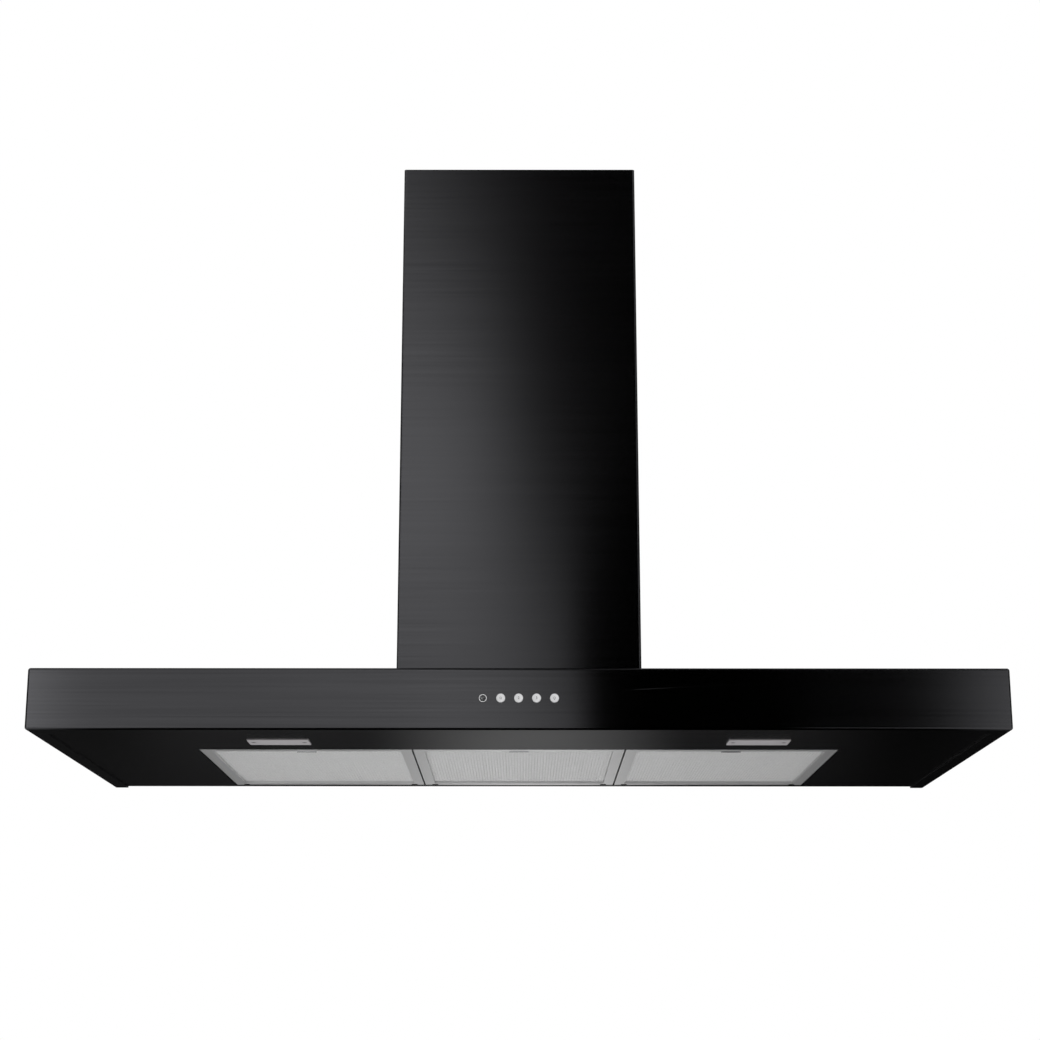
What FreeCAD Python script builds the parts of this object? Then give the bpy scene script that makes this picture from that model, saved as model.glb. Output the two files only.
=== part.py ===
"""Wall-mounted chimney range hood: a wide folded canopy, three grease filters, two lamps, four
push buttons, a blower in its chamber and a telescopic flue cover.

Millimetres. The origin lies on the wall plane, under the middle of the canopy, level with its lower
rim: +X to the right seen from the front, +Y into the wall, +Z up.
"""
import FreeCAD
import Part
import Sketcher

import os
import re

SIZES = {
    # folded canopy
    "canopy_width": 1100,
    "canopy_depth": 500,
    "canopy_height": 70,
    "sheet": 1,
    "bend_radius": 3,
    "front_flange": 30,
    "side_flange": 18.5,
    "seat_gap": 0.3,
    # holes that hang the canopy on the wall
    "back_hole_spacing": 400,
    "back_hole_height": 40,
    "back_hole_radius": 4.5,
    # filters
    "filter_width": 252.5,
    "filter_from_front": 164,
    "filter_height": 9,
    "filter_gap": 2,
    "filter_back": 16,
    "frame_border": 13,
    "mesh_seat": 3,
    "mesh_groove": 4,
    "mesh_stack": 5,
    "mesh_layer": 1.2,
    "bay_front_gap": 2,
    "bay_side_gap": 2,
    "bay_back_gap": 3.5,
    "bay_flange": 11,
    "divider_width": 14,
    "divider_height": 8,
    # pivot pins and hooks at the back of each filter
    "pin_radius": 1.6,
    "pin_from_back": 4,
    "pin_from_low": 5,
    "pin_reach": 3.5,
    "hook_from_side": 13,
    "hook_width": 6,
    "hook_gap": 0.3,
    "hook_wall": 1.2,
    "notch_side_gap": 1,
    "notch_depth": 8,
    # sliding latch at the front of each filter
    "latch_width": 23.5,
    "latch_plate": 1.1,
    "latch_floor": 0.9,
    "latch_gap": 0.15,
    "latch_tab": 1.8,
    "tongue_width": 12,
    "latch_slot_height": 4,
    "spring_window": 18,
    "spring_leaf": 0.4,
    "spring_rest": 4.3,
    "peg_width": 3,
    "peg_length": 1.5,
    "window_front": 2,
    "window_back": 2,
    # lamps
    "lamp_offset": 278,
    "lamp_from_front": 98,
    "lens_width": 71,
    "lens_depth": 38,
    "lens_thickness": 1.5,
    "lens_corner": 2,
    "lamp_screw_pitch": 59,
    "lamp_box_width": 48,
    "lamp_box_depth": 28,
    "lamp_box_height": 18,
    "board_thickness": 1.6,
    "led_size": 3.5,
    "led_height": 0.9,
    "led_pitch": 7,
    "screw_head_radius": 2.9,
    "screw_head_height": 1.1,
    "screw_radius": 1.45,
    "screw_gap": 0.15,
    "lamp_screw_length": 9,
    "lamp_screw_sink": 0.8,
    # row of indicator and buttons in the front
    "control_height": 35.5,
    "control_pitch": 20,
    "button_radius": 4.9,
    "button_gap": 0.25,
    "button_proud": 2,
    "button_edge": 0.5,
    "button_travel": 1.5,
    "collar_radius": 6.2,
    "collar_thickness": 1,
    "stem_radius": 2,
    "stem_length": 6.5,
    "indicator_radius": 3.5,
    "indicator_proud": 1.2,
    "indicator_ring": 0.8,
    "indicator_flange": 0.5,
    "indicator_depth": 5,
    "guide_margin": 12,
    "guide_height": 22,
    "guide_wall": 2,
    "guide_depth": 13,
    "guide_pocket": 4.5,
    "guide_web": 2,
    "switch_size": 6,
    "diode_radius": 1.75,
    "button_spring_radius": 3,
    "button_spring_wire": 0.4,
    "button_spring_turns": 3,
    "button_spring_sides": 8,
    # control electronics on the underside panel
    "control_box_width": 140,
    "control_box_depth": 52,
    "control_box_height": 28,
    "control_box_wall": 2,
    "control_box_from_front": 30,
    "power_board_gap": 4,
    "relay_size": 20,
    "relay_height": 9,
    "relay_pitch": 35,
    "lead_radius": 2.5,
    "lamp_lead_inset": 7.5,
    "lead_bend": 15,
    # blower chamber above the canopy
    "chamber_width": 262,
    "chamber_depth": 228,
    "chamber_height": 300,
    "chamber_back": 18,
    "chamber_flange": 8,
    "outlet_width": 116,
    "outlet_depth": 120,
    "chamber_screw_inset": 4,
    "chamber_screw_pitch": 76,
    "foot_screw_length": 6,
    # scroll casing and impeller
    "scroll_radius": 108,
    "scroll_width": 130,
    "scroll_wall": 2,
    "scroll_axis_height": 120,
    "neck_depth": 140,
    "wheel_offset": 10,
    "wheel_radius": 80,
    "wheel_length": 112,
    "wheel_ring": 11,
    "wheel_plate": 2,
    "wheel_hub_radius": 14,
    "wheel_hub_length": 20,
    "blade_count": 32,
    "blade_depth": 9.5,
    "blade_lean": 6,
    "blade_thickness": 1.2,
    "inlet_radius": 66,
    "inlet_ring_width": 8,
    "inlet_ring_height": 1.8,
    # motor
    "shaft_radius": 4,
    "shaft_gap": 0.05,
    "shaft_length": 46,
    "motor_radius": 42,
    "motor_length": 62,
    "motor_gap": 1,
    "motor_cap_radius": 28,
    "motor_cap_length": 6,
    "motor_lead_from_axis": 35,
    "bracket_ring": 3,
    "bracket_ring_length": 8,
    "bracket_arm_width": 12,
    "bracket_arm_thickness": 2,
    "bracket_foot": 6,
    "capacitor_radius": 15,
    "capacitor_length": 50,
    "terminal_width": 35,
    "terminal_depth": 60,
    "terminal_height": 40,
    "wall_box_from_top": 60,
    # cable gland in the chamber's top
    "gland_from_side": 26,
    "gland_from_back": 27,
    "gland_radius": 9,
    "gland_nut_radius": 13,
    "gland_nut_height": 6,
    "gland_locknut_height": 3,
    "gland_nut_chamfer": 2,
    "gland_bore": 4.5,
    "gland_above": 20,
    "gland_below": 10,
    # duct collar and its two flaps
    "duct_radius": 75,
    "duct_wall": 2,
    "duct_height": 60,
    "duct_base_radius": 90,
    "duct_base": 2,
    "damper_height": 20,
    "damper_pin_radius": 1.5,
    "damper_knuckle_radius": 3,
    "damper_thickness": 1.5,
    "damper_edge_gap": 1,
    "damper_knuckle": 36,
    "damper_stop": 3,
    # telescopic flue cover
    "flue_width": 304,
    "flue_depth": 270,
    "flue_top": 784,
    "flue_gap": 0.6,
    "flue_return": 15,
    "upper_flue_base": 95,
    "upper_flue_drop": 2,
    "foot_height": 18,
    "foot_length": 50,
    "foot_thickness": 1.5,
    "foot_screw_pitch": 30,
    # brackets on the wall
    "hanger_width": 220,
    "hanger_height": 45,
    "hanger_thickness": 3,
    "hanger_from_top": 70,
    "hanger_lip": 12,
    "hook_plate": 2,
    "hook_rest_gap": 1,
    "hook_drop": 9,
    "hook_height": 22.5,
    "hanger_hole_spacing": 160,
    "hanger_hole_radius": 3.5,
    "flue_bracket_height": 30,
    "flue_bracket_from_top": 14,
    "flue_bracket_thickness": 2,
    "flue_bracket_tab": 24,
    "flue_bracket_hole_spacing": 180,
    "flue_bracket_hole_radius": 3,
    "flue_fixing_radius": 2,
}

FRONT = "(-canopy_depth)"
PANEL_LOW = "(2 * sheet)"
PANEL_TOP = "(3 * sheet)"
CANOPY_TOP = "canopy_height"
FILTER_FRONT = f"({FRONT} + filter_from_front)"
FILTER_REAR = "(-filter_back)"
FILTER_LOW = PANEL_LOW
FILTER_PITCH = "(filter_width + filter_gap)"
BAY_HALF = "(1.5 * filter_width + filter_gap + bay_side_gap)"
BAY_FRONT = f"({FILTER_FRONT} - bay_front_gap)"
BAY_REAR = f"({FILTER_REAR} + bay_back_gap)"
BAY_TOP = f"({PANEL_TOP} + bay_flange)"
PIN_Y = f"({FILTER_REAR} - pin_from_back)"
PIN_Z = f"({FILTER_LOW} + pin_from_low)"
LATCH_LOW = f"({FILTER_LOW} + latch_floor)"
LATCH_HIGH = f"({LATCH_LOW} + latch_plate + 2 * latch_gap)"
MESH_LOW = f"({FILTER_LOW} + mesh_seat)"
CHAMBER_MID = "(-chamber_back - chamber_depth / 2)"
CHAMBER_TOP = "(canopy_height + chamber_height)"
SCROLL_Z = "(canopy_height + scroll_axis_height)"
DAMPER_Z = f"({CHAMBER_TOP} + damper_height)"
FOOT_OUTER = "(flue_width / 2 - sheet - seat_gap)"
FOOT_LEG = f"({FOOT_OUTER} - foot_thickness)"
FOOT_TOE = "(chamber_width / 2 + chamber_flange + seat_gap)"
BRACKET_TOP = "(flue_top - flue_bracket_from_top)"
SIDES = {"left": -1, "middle": 0, "right": 1}

document = FreeCAD.newDocument("RangeHood")
sheet = document.addObject("Spreadsheet::Sheet", "Size")
nodes = []
cuts = []


def fill_sheet():
    """Write every driving dimension into the sheet as a plain number with an alias."""
    for row, (alias, value) in enumerate(SIZES.items(), 1):
        sheet.set(f"A{row}", alias)
        sheet.set(f"B{row}", str(value))
        sheet.setAlias(f"B{row}", alias)
    document.recompute()


def size(alias):
    """Read one driving dimension back from the sheet."""
    return float(sheet.get(alias))


def bound(text):
    """Turn words into sheet references, so that an expression follows the sheet."""
    return re.sub(r"[a-z][a-z_]+", lambda m: f"Size.{m[0]}" if m[0] in SIZES else m[0], str(text))


def keep(item, label):
    """Give an object the label of its node and list it as a sub-part."""
    item.Label = label
    nodes.append(item)
    return item


def new_body(label, x="0", y="0", z="0", listed=True):
    """Start a body whose own origin sits at the given place."""
    body = document.addObject("PartDesign::Body", label)
    for axis, text in zip("xyz", (x, y, z)):
        body.setExpression(f"Placement.Base.{axis}", bound(text))
    return keep(body, label) if listed else body


def origin_part(body, role):
    """Find one of the body's own planes or axes by its role."""
    return next(part for part in body.Origin.OriginFeatures if part.Role == role)


def add_sketch(body, plane, offset, loops):
    """Draw closed loops on one of the body's planes, moved along the plane's normal.

    A loop is a list of (x, y) corners, or one (x, y, radius) circle, each an expression.
    """
    sketch = body.newObject("Sketcher::SketchObject", "Outline")
    sketch.AttachmentSupport = (origin_part(body, plane), [""])
    sketch.MapMode = "FlatFace"
    sketch.setExpression("AttachmentOffset.Base.z", bound(offset))
    for loop in loops:
        if len(loop) == 1:
            add_circle(sketch, *loop[0])
        else:
            add_polygon(sketch, loop)
    return sketch


def pin_point(sketch, geometry, point, x, y):
    """Hold a point of the sketch at two expressions measured from the origin."""
    for kind, text in (("DistanceX", x), ("DistanceY", y)):
        index = sketch.addConstraint(Sketcher.Constraint(kind, -1, 1, geometry, point, 1.0))
        sketch.setExpression(f"Constraints[{index}]", bound(text))


def add_circle(sketch, x, y, radius):
    """Add one circle with a bound centre and radius."""
    circle = Part.Circle(FreeCAD.Vector(1, 1, 0), FreeCAD.Vector(0, 0, 1), 1)
    index = sketch.addGeometry(circle, False)
    pin_point(sketch, index, 3, x, y)
    constraint = sketch.addConstraint(Sketcher.Constraint("Radius", index, 1.0))
    sketch.setExpression(f"Constraints[{constraint}]", bound(radius))


def add_polygon(sketch, corners):
    """Add a closed polygon whose every corner is bound to the sheet."""
    first = sketch.GeometryCount
    count = len(corners)
    around = [FreeCAD.Vector(10, 0, 0)]
    turn = FreeCAD.Rotation(FreeCAD.Vector(0, 0, 1), 360 / count)
    while len(around) < count:
        around.append(turn.multVec(around[-1]))
    for index in range(count):
        edge = Part.LineSegment(around[index], around[(index + 1) % count])
        sketch.addGeometry(edge, False)
    for index in range(count):
        following = first + (index + 1) % count
        sketch.addConstraint(Sketcher.Constraint("Coincident", first + index, 2, following, 1))
    for index, (x, y) in enumerate(corners):
        pin_point(sketch, first + index, 1, x, y)


def rectangle(x_low, x_high, y_low, y_high):
    """Corners of a rectangle between four expressions."""
    return [(x_low, y_low), (x_high, y_low), (x_high, y_high), (x_low, y_high)]


def add_pad(body, plane, loops, low, high):
    """Grow the loops from low to high along the axis across the plane."""
    offset = f"-({high})" if plane == "XZ_Plane" else low
    sketch = add_sketch(body, plane, offset, loops)
    pad = body.newObject("PartDesign::Pad", "Pad")
    pad.Profile = sketch
    pad.setExpression("Length", bound(f"({high}) - ({low})"))
    return pad


def add_pocket(body, plane, loops, low, high):
    """Cut the loops from high down to low along the axis across the plane."""
    offset = f"-({low})" if plane == "XZ_Plane" else high
    sketch = add_sketch(body, plane, offset, loops)
    pocket = body.newObject("PartDesign::Pocket", "Pocket")
    pocket.Profile = sketch
    pocket.setExpression("Length", bound(f"({high}) - ({low})"))
    cuts.append(pocket)
    return pocket


def add_revolution(body, plane, corners, axis="V_Axis"):
    """Turn a closed outline once round an axis of its sketch."""
    sketch = add_sketch(body, plane, "0", [corners])
    turned = body.newObject("PartDesign::Revolution", "Revolution")
    turned.Profile = sketch
    turned.ReferenceAxis = (sketch, [axis])
    turned.Angle = 360
    return turned


def add_polar(body, feature, axis, count):
    """Repeat a feature round one of the body's axes."""
    pattern = body.newObject("PartDesign::PolarPattern", "Pattern")
    pattern.Originals = [feature]
    pattern.Axis = (origin_part(body, axis), [""])
    pattern.Angle = 360
    pattern.setExpression("Occurrences", bound(count))
    body.Tip = pattern
    return pattern


def add_fillet(body, radius, chosen):
    """Round those edges of the body's tip that pass the test."""
    document.recompute()
    base = body.Tip
    names = [f"Edge{n}" for n, edge in enumerate(base.Shape.Edges, 1) if chosen(edge)]
    fillet = body.newObject("PartDesign::Fillet", "Fillet")
    fillet.Base = (base, names)
    fillet.setExpression("Radius", bound(radius))
    return fillet


def runs_along(edge, axis):
    """Say whether a straight edge lies along the axis with this index."""
    if not isinstance(edge.Curve, Part.Line):
        return False
    return abs(edge.tangentAt(edge.FirstParameter)[axis]) > 0.999


def add_box(name, x_low, x_high, y_low, y_high, z_low, z_high):
    """Make a plain block between six expressions."""
    block = document.addObject("Part::Box", name)
    spans = (("x", "Length", x_low, x_high), ("y", "Width", y_low, y_high))
    for axis, side, low, high in spans + (("z", "Height", z_low, z_high),):
        block.setExpression(f"Placement.Base.{axis}", bound(low))
        block.setExpression(side, bound(f"({high}) - ({low})"))
    return block


def add_cylinder(name, x, y, z, radius, height, axis=(0, 0, 1)):
    """Make a cylinder that starts at a bound point and runs along a row axis."""
    rod = document.addObject("Part::Cylinder", name)
    rod.Placement.Rotation = FreeCAD.Rotation(FreeCAD.Vector(0, 0, 1), FreeCAD.Vector(*axis))
    for side, text in zip("xyz", (x, y, z)):
        rod.setExpression(f"Placement.Base.{side}", bound(text))
    rod.setExpression("Radius", bound(radius))
    rod.setExpression("Height", bound(height))
    return rod


def add_screw(name, x, y, z, length, down=False):
    """Make a pan-head screw whose head rests on the given point, above it or below it."""
    way = -1 if down else 1
    axis = (0, 0, -way)
    head = add_cylinder("Head", x, y, z, "screw_head_radius", "screw_head_height", (0, 0, way))
    shank = add_cylinder("Shank", x, y, z, "screw_radius", length, axis)
    screw = document.addObject("Part::MultiFuse", name)
    screw.Shapes = [head, shank]
    return screw


def screw_holes(places, middle="0", gap="screw_gap"):
    """Round clearance holes at the given places, measured from a middle along Y."""
    return [[(x, f"{middle} + {y}", f"screw_radius + {gap}")] for x, y in places]


def chamber_screw_places():
    """Places of the screws in the chamber's foot, from the chamber's middle."""
    reach = "(chamber_width / 2 + chamber_screw_inset)"
    return [(f"{way} * {reach}", f"{row} * chamber_screw_pitch")
            for way in (-1, 1) for row in (-1, 0, 1)]


def flue_screw_places():
    """Places of the screws in the flue's feet, from the chamber's middle."""
    return [(f"{way} * ({FOOT_TOE} + {FOOT_LEG}) / 2", f"{end} * foot_screw_pitch / 2")
            for way in (-1, 1) for end in (-1, 1)]


def add_group(label, items):
    """Keep identical loose pieces together in one node."""
    group = document.addObject("Part::Compound", label)
    group.Links = items
    return keep(group, label)


def make_canopy_shell():
    """Folded canopy: front, two ends and top in one sheet, with a hemmed lower rim."""
    half = "canopy_width / 2"
    body = new_body("canopy_shell")
    add_pad(body, "XY_Plane", [rectangle(f"-{half}", half, FRONT, "0")], "0", CANOPY_TOP)
    add_fillet(body, "bend_radius", lambda edge: any(v.Y < -0.5 for v in edge.Vertexes))
    document.recompute()
    base = body.Tip
    rear = [f"Face{n}" for n, face in enumerate(base.Shape.Faces, 1)
            if abs(face.CenterOfMass.y) < 1e-6]
    hollow = body.newObject("PartDesign::Thickness", "Hollow")
    hollow.Base = (base, rear)
    hollow.Reversed = True
    hollow.Join = 1
    hollow.setExpression("Value", bound("sheet"))
    inner = f"({half} - side_flange)"
    window_front = f"({FRONT} + front_flange)"
    window = rectangle(f"-{inner}", inner, window_front, "0")
    add_pocket(body, "XY_Plane", [window], "0", "sheet")
    edge = f"({half} - sheet)"
    front_edge = f"({FRONT} + sheet)"
    hem = [(f"-{edge}", "0"), (f"-{edge}", front_edge), (edge, front_edge), (edge, "0"),
           (inner, "0"), (inner, window_front), (f"-{inner}", window_front), (f"-{inner}", "0")]
    add_pad(body, "XY_Plane", [hem], "sheet", PANEL_LOW)
    x_in = "(chamber_width / 2 - sheet)"
    y_in = "(chamber_depth / 2 - sheet)"
    opening = rectangle(f"-{x_in}", x_in, f"{CHAMBER_MID} - {y_in}", f"{CHAMBER_MID} + {y_in}")
    screws = screw_holes(chamber_screw_places() + flue_screw_places(), CHAMBER_MID)
    add_pocket(body, "XY_Plane", [opening] + screws, f"{CANOPY_TOP} - sheet", CANOPY_TOP)
    holes = [[(f"{place} * control_pitch", "control_height", "button_radius + button_gap")]
             for place in range(-1, 3)]
    holes.append([("-2 * control_pitch", "control_height",
                   "indicator_radius + indicator_ring + button_gap")])
    add_pocket(body, "XZ_Plane", holes, FRONT, f"{FRONT} + sheet")


def make_canopy_back():
    """Flat plate that closes the back of the canopy and stands against the wall."""
    half = "(canopy_width / 2 - sheet - seat_gap)"
    body = new_body("canopy_back")
    plate = rectangle(f"-{half}", half, PANEL_TOP, f"{CANOPY_TOP} - sheet")
    add_pad(body, "XZ_Plane", [plate], "-sheet", "0")
    holes = [[(f"{way} * back_hole_spacing / 2", "back_hole_height", "back_hole_radius")]
             for way in (-1, 1)]
    add_pocket(body, "XZ_Plane", holes, "-sheet", "0")
    add_fillet(body, "bend_radius - sheet", lambda edge: runs_along(edge, 1)
               and edge.BoundBox.ZMin > size("canopy_height") - 2 * size("bend_radius"))


def lamp_x(way):
    """Expression for the middle of a lamp on one side."""
    return f"({way} * lamp_offset)"


LAMP_Y = f"({FRONT} + lamp_from_front)"


def make_underside_panel():
    """Sheet that closes the canopy from below, with the filter bay and the lamp openings."""
    half = "(canopy_width / 2 - sheet - seat_gap)"
    body = new_body("underside_panel")
    outline = rectangle(f"-{half}", half, f"{FRONT} + sheet + seat_gap", "0")
    loops = [outline, rectangle(f"-{BAY_HALF}", BAY_HALF, BAY_FRONT, BAY_REAR)]
    for way in (-1, 1):
        middle = lamp_x(way)
        loops.append(rectangle(f"{middle} - lamp_box_width / 2 + sheet",
                               f"{middle} + lamp_box_width / 2 - sheet",
                               f"{LAMP_Y} - lamp_box_depth / 2 + sheet",
                               f"{LAMP_Y} + lamp_box_depth / 2 - sheet"))
        loops += [[(f"{middle} + {end} * lamp_screw_pitch / 2", LAMP_Y, "screw_radius + screw_gap")]
                  for end in (-1, 1)]
    add_pad(body, "XY_Plane", loops, PANEL_LOW, PANEL_TOP)
    add_fillet(body, "bend_radius", lambda edge: runs_along(edge, 2)
               and edge.BoundBox.YMax < 2 * size("bend_radius") - size("canopy_depth"))
    outer = f"({BAY_HALF} + sheet)"
    wall = [rectangle(f"-{outer}", outer, f"{BAY_FRONT} - sheet", f"{BAY_REAR} + sheet"),
            rectangle(f"-{BAY_HALF}", BAY_HALF, BAY_FRONT, BAY_REAR)]
    add_pad(body, "XY_Plane", wall, PANEL_LOW, BAY_TOP)
    slots = []
    for place in (-1, 0, 1):
        middle = f"({place} * {FILTER_PITCH})"
        reach = "(tongue_width / 2 + notch_side_gap)"
        slots.append(rectangle(f"{middle} - {reach}", f"{middle} + {reach}",
                               f"{LATCH_LOW} - latch_gap", f"{LATCH_LOW} + latch_slot_height"))
    add_pocket(body, "XZ_Plane", slots, f"{BAY_FRONT} - sheet", BAY_FRONT)


def make_filter_dividers():
    """Two inverted channels that bridge the bay above the gaps between the filters."""
    bars = []
    for way in (-1, 1):
        middle = f"({way} * {FILTER_PITCH} / 2)"
        half = "divider_width / 2"
        inner = "(divider_width / 2 - sheet)"
        top = f"({BAY_TOP} + divider_height)"
        profile = [(f"{middle} - {half}", BAY_TOP), (f"{middle} - {half}", top),
                   (f"{middle} + {half}", top), (f"{middle} + {half}", BAY_TOP),
                   (f"{middle} + {inner}", BAY_TOP), (f"{middle} + {inner}", f"{top} - sheet"),
                   (f"{middle} - {inner}", f"{top} - sheet"), (f"{middle} - {inner}", BAY_TOP)]
        bar = new_body("Divider", listed=False)
        add_pad(bar, "XZ_Plane", [profile], f"{BAY_FRONT} - sheet", f"{BAY_REAR} + sheet")
        bars.append(bar)
    add_group("filter_dividers", bars)


def hook_places():
    """Expressions for the middles of the two hooks, from the middle of a filter."""
    reach = "(filter_width / 2 - hook_from_side)"
    return f"(-{reach})", reach


def make_filter_hooks():
    """Six steel hooks on the bay's rear flange that cradle the pins of the filters."""
    hooks = []
    inner, outer = "(pin_radius + hook_gap)", "(pin_radius + hook_gap + hook_wall)"
    top = "(bay_flange + sheet - pin_from_low)"
    back = "(pin_from_back + bay_back_gap)"
    for place in (-1, 0, 1):
        for reach in hook_places():
            x_low = f"{place} * {FILTER_PITCH} + {reach} - hook_width / 2"
            hook = new_body("Hook", x=x_low, y=PIN_Y, z=PIN_Z, listed=False)
            add_pad(hook, "YZ_Plane", [[("0", "0", outer)]], "0", "hook_width")
            arm = [(inner, "0"), (outer, "0"), (outer, f"{top} - hook_wall"),
                   (back, f"{top} - hook_wall"), (back, top), (inner, top)]
            add_pocket(hook, "YZ_Plane", [[("0", "0", inner)]], "0", "hook_width")
            upper = rectangle(f"-{outer}", outer, "0", outer)
            add_pocket(hook, "YZ_Plane", [upper], "0", "hook_width")
            add_pad(hook, "YZ_Plane", [arm], "0", "hook_width")
            hooks.append(hook)
    add_group("filter_hooks", hooks)


def make_filter(side, place):
    """One lift-out filter: frame with two pivot pins, two mesh layers, latch and its spring."""
    middle = f"{place} * {FILTER_PITCH}"
    make_filter_frame(side, middle)
    make_filter_mesh(side, middle)
    make_latch(side, middle)
    make_latch_spring(side, middle)


def make_filter_frame(side, middle):
    """Aluminium frame with a groove for the mesh, a latch slot and notches for the hooks."""
    body = new_body(f"filter_frame_{side}", x=middle)
    half = "filter_width / 2"
    top = f"({FILTER_LOW} + filter_height)"
    outline = rectangle(f"-{half}", half, FILTER_FRONT, FILTER_REAR)
    x_open = "(filter_width / 2 - frame_border)"
    y_front, y_rear = f"({FILTER_FRONT} + frame_border)", f"({FILTER_REAR} - frame_border)"
    opening = rectangle(f"-{x_open}", x_open, y_front, y_rear)
    add_pad(body, "XY_Plane", [outline, opening], FILTER_LOW, top)
    x_deep = f"({x_open} + mesh_groove)"
    groove = rectangle(f"-{x_deep}", x_deep, f"{y_front} - mesh_groove", f"{y_rear} + mesh_groove")
    add_pocket(body, "XY_Plane", [groove], MESH_LOW, f"{MESH_LOW} + mesh_stack")
    latch_half = "(latch_width / 2 + latch_gap)"
    peg_low = f"({FILTER_FRONT} + window_front + spring_rest + 2 * latch_gap)"
    slot = rectangle(f"-{latch_half}", latch_half, FILTER_FRONT + " + sheet", y_front)
    add_pocket(body, "XY_Plane", [slot], LATCH_LOW, LATCH_HIGH)
    tongue_half = "(tongue_width / 2 + latch_gap)"
    mouth = rectangle(f"-{tongue_half}", tongue_half, FILTER_FRONT, f"{FILTER_FRONT} + sheet")
    add_pocket(body, "XY_Plane", [mouth], LATCH_LOW, LATCH_HIGH)
    peg = rectangle("-peg_width / 2", "peg_width / 2", peg_low, f"{peg_low} + peg_length")
    add_pad(body, "XY_Plane", [peg], LATCH_LOW, LATCH_HIGH)
    for reach in hook_places():
        notch_half = "(hook_width / 2 + notch_side_gap)"
        notch = rectangle(f"{reach} - {notch_half}", f"{reach} + {notch_half}",
                          f"{FILTER_REAR} - notch_depth", FILTER_REAR)
        add_pocket(body, "XY_Plane", [notch], FILTER_LOW, top)
        ends = f"({notch_half} + pin_reach)"
        add_pad(body, "YZ_Plane", [[(PIN_Y, PIN_Z, "pin_radius")]],
                f"{reach} - {ends}", f"{reach} + {ends}")


def make_filter_mesh(side, middle):
    """Lower and upper layer of woven aluminium mesh, held in the groove of the frame."""
    reach = "(frame_border - mesh_groove + latch_gap)"
    x_edge = f"(filter_width / 2 - {reach})"
    layers = []
    for name, low in (("Lower", MESH_LOW), ("Upper", f"{MESH_LOW} + mesh_stack - mesh_layer")):
        layers.append(add_box(name, f"{middle} - {x_edge}", f"{middle} + {x_edge}",
                              f"{FILTER_FRONT} + {reach}", f"{FILTER_REAR} - {reach}",
                              low, f"{low} + mesh_layer"))
    add_group(f"filter_mesh_{side}", layers)


def make_latch(side, middle):
    """Sliding plate in the front rail, with a finger tab turned down and a tongue in front."""
    body = new_body(f"filter_latch_{side}", x=middle)
    low, high = f"({LATCH_LOW} + latch_gap)", f"({LATCH_LOW} + latch_gap + latch_plate)"
    half = "latch_width / 2"
    front = f"({FILTER_FRONT} + sheet + latch_gap)"
    rear = f"({FILTER_FRONT} + frame_border + seat_gap + latch_tab)"
    window = rectangle("-spring_window / 2", "spring_window / 2",
                       f"{FILTER_FRONT} + window_front", f"{rear} - latch_tab - window_back")
    add_pad(body, "XY_Plane", [rectangle(f"-{half}", half, front, rear), window], low, high)
    tongue = rectangle("-tongue_width / 2", "tongue_width / 2", f"{BAY_FRONT} + seat_gap", front)
    add_pad(body, "XY_Plane", [tongue], low, high)
    tab = rectangle(f"-{half}", half, f"{rear} - latch_tab", rear)
    add_pad(body, "XY_Plane", [tab], "sheet", low)


def make_latch_spring(side, middle):
    """Bowed leaf between the latch and the peg of the frame."""
    body = new_body(f"latch_spring_{side}", x=middle)
    front = f"({FILTER_FRONT} + window_front + latch_gap)"
    half = "(spring_window / 2 - latch_gap)"
    low, high = f"({LATCH_LOW} + latch_gap)", f"({LATCH_LOW} + latch_gap + latch_plate)"
    crown = f"({front} + spring_rest)"
    bow = [(f"-{half}", front), ("0", f"{crown} - spring_leaf"), (half, front),
           (half, f"{front} + spring_leaf"), ("0", crown), (f"-{half}", f"{front} + spring_leaf")]
    add_pad(body, "XY_Plane", [bow], low, high)


def make_lamp(side, way):
    """Housing above the panel and lens plate below it."""
    middle = lamp_x(way)
    housing = new_body(f"lamp_housing_{side}", x=middle, y=LAMP_Y)
    half_x, half_y = "lens_width / 2", "lens_depth / 2"
    box_x, box_y = "lamp_box_width / 2", "lamp_box_depth / 2"
    screws = [[(f"{end} * lamp_screw_pitch / 2", "0", "screw_radius")] for end in (-1, 1)]
    inner_x, inner_y = f"({box_x} - sheet)", f"({box_y} - sheet)"
    flange = [rectangle(f"-{half_x}", half_x, f"-{half_y}", half_y)] + screws
    add_pad(housing, "XY_Plane", flange, PANEL_TOP, f"{PANEL_TOP} + sheet")
    top = f"({PANEL_TOP} + lamp_box_height)"
    block = [rectangle(f"-{box_x}", box_x, f"-{box_y}", box_y)]
    add_pad(housing, "XY_Plane", block, PANEL_TOP, top)
    hollow = [rectangle(f"-{inner_x}", inner_x, f"-{inner_y}", inner_y)]
    add_pocket(housing, "XY_Plane", hollow, PANEL_TOP, f"{top} - sheet")
    lens = new_body(f"lamp_lens_{side}", x=middle, y=LAMP_Y)
    holes = [[(f"{end} * lamp_screw_pitch / 2", "0", "screw_radius + screw_gap")]
             for end in (-1, 1)]
    plate = [rectangle(f"-{half_x}", half_x, f"-{half_y}", half_y)] + holes
    add_pad(lens, "XY_Plane", plate, f"{PANEL_LOW} - lens_thickness", PANEL_LOW)
    add_fillet(lens, "lens_corner", lambda edge: runs_along(edge, 2))
    seats = [[(f"{end} * lamp_screw_pitch / 2", "0", "screw_head_radius + screw_gap")]
             for end in (-1, 1)]
    low = f"({PANEL_LOW} - lens_thickness)"
    add_pocket(lens, "XY_Plane", seats, low, f"{low} + lamp_screw_sink")


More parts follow.
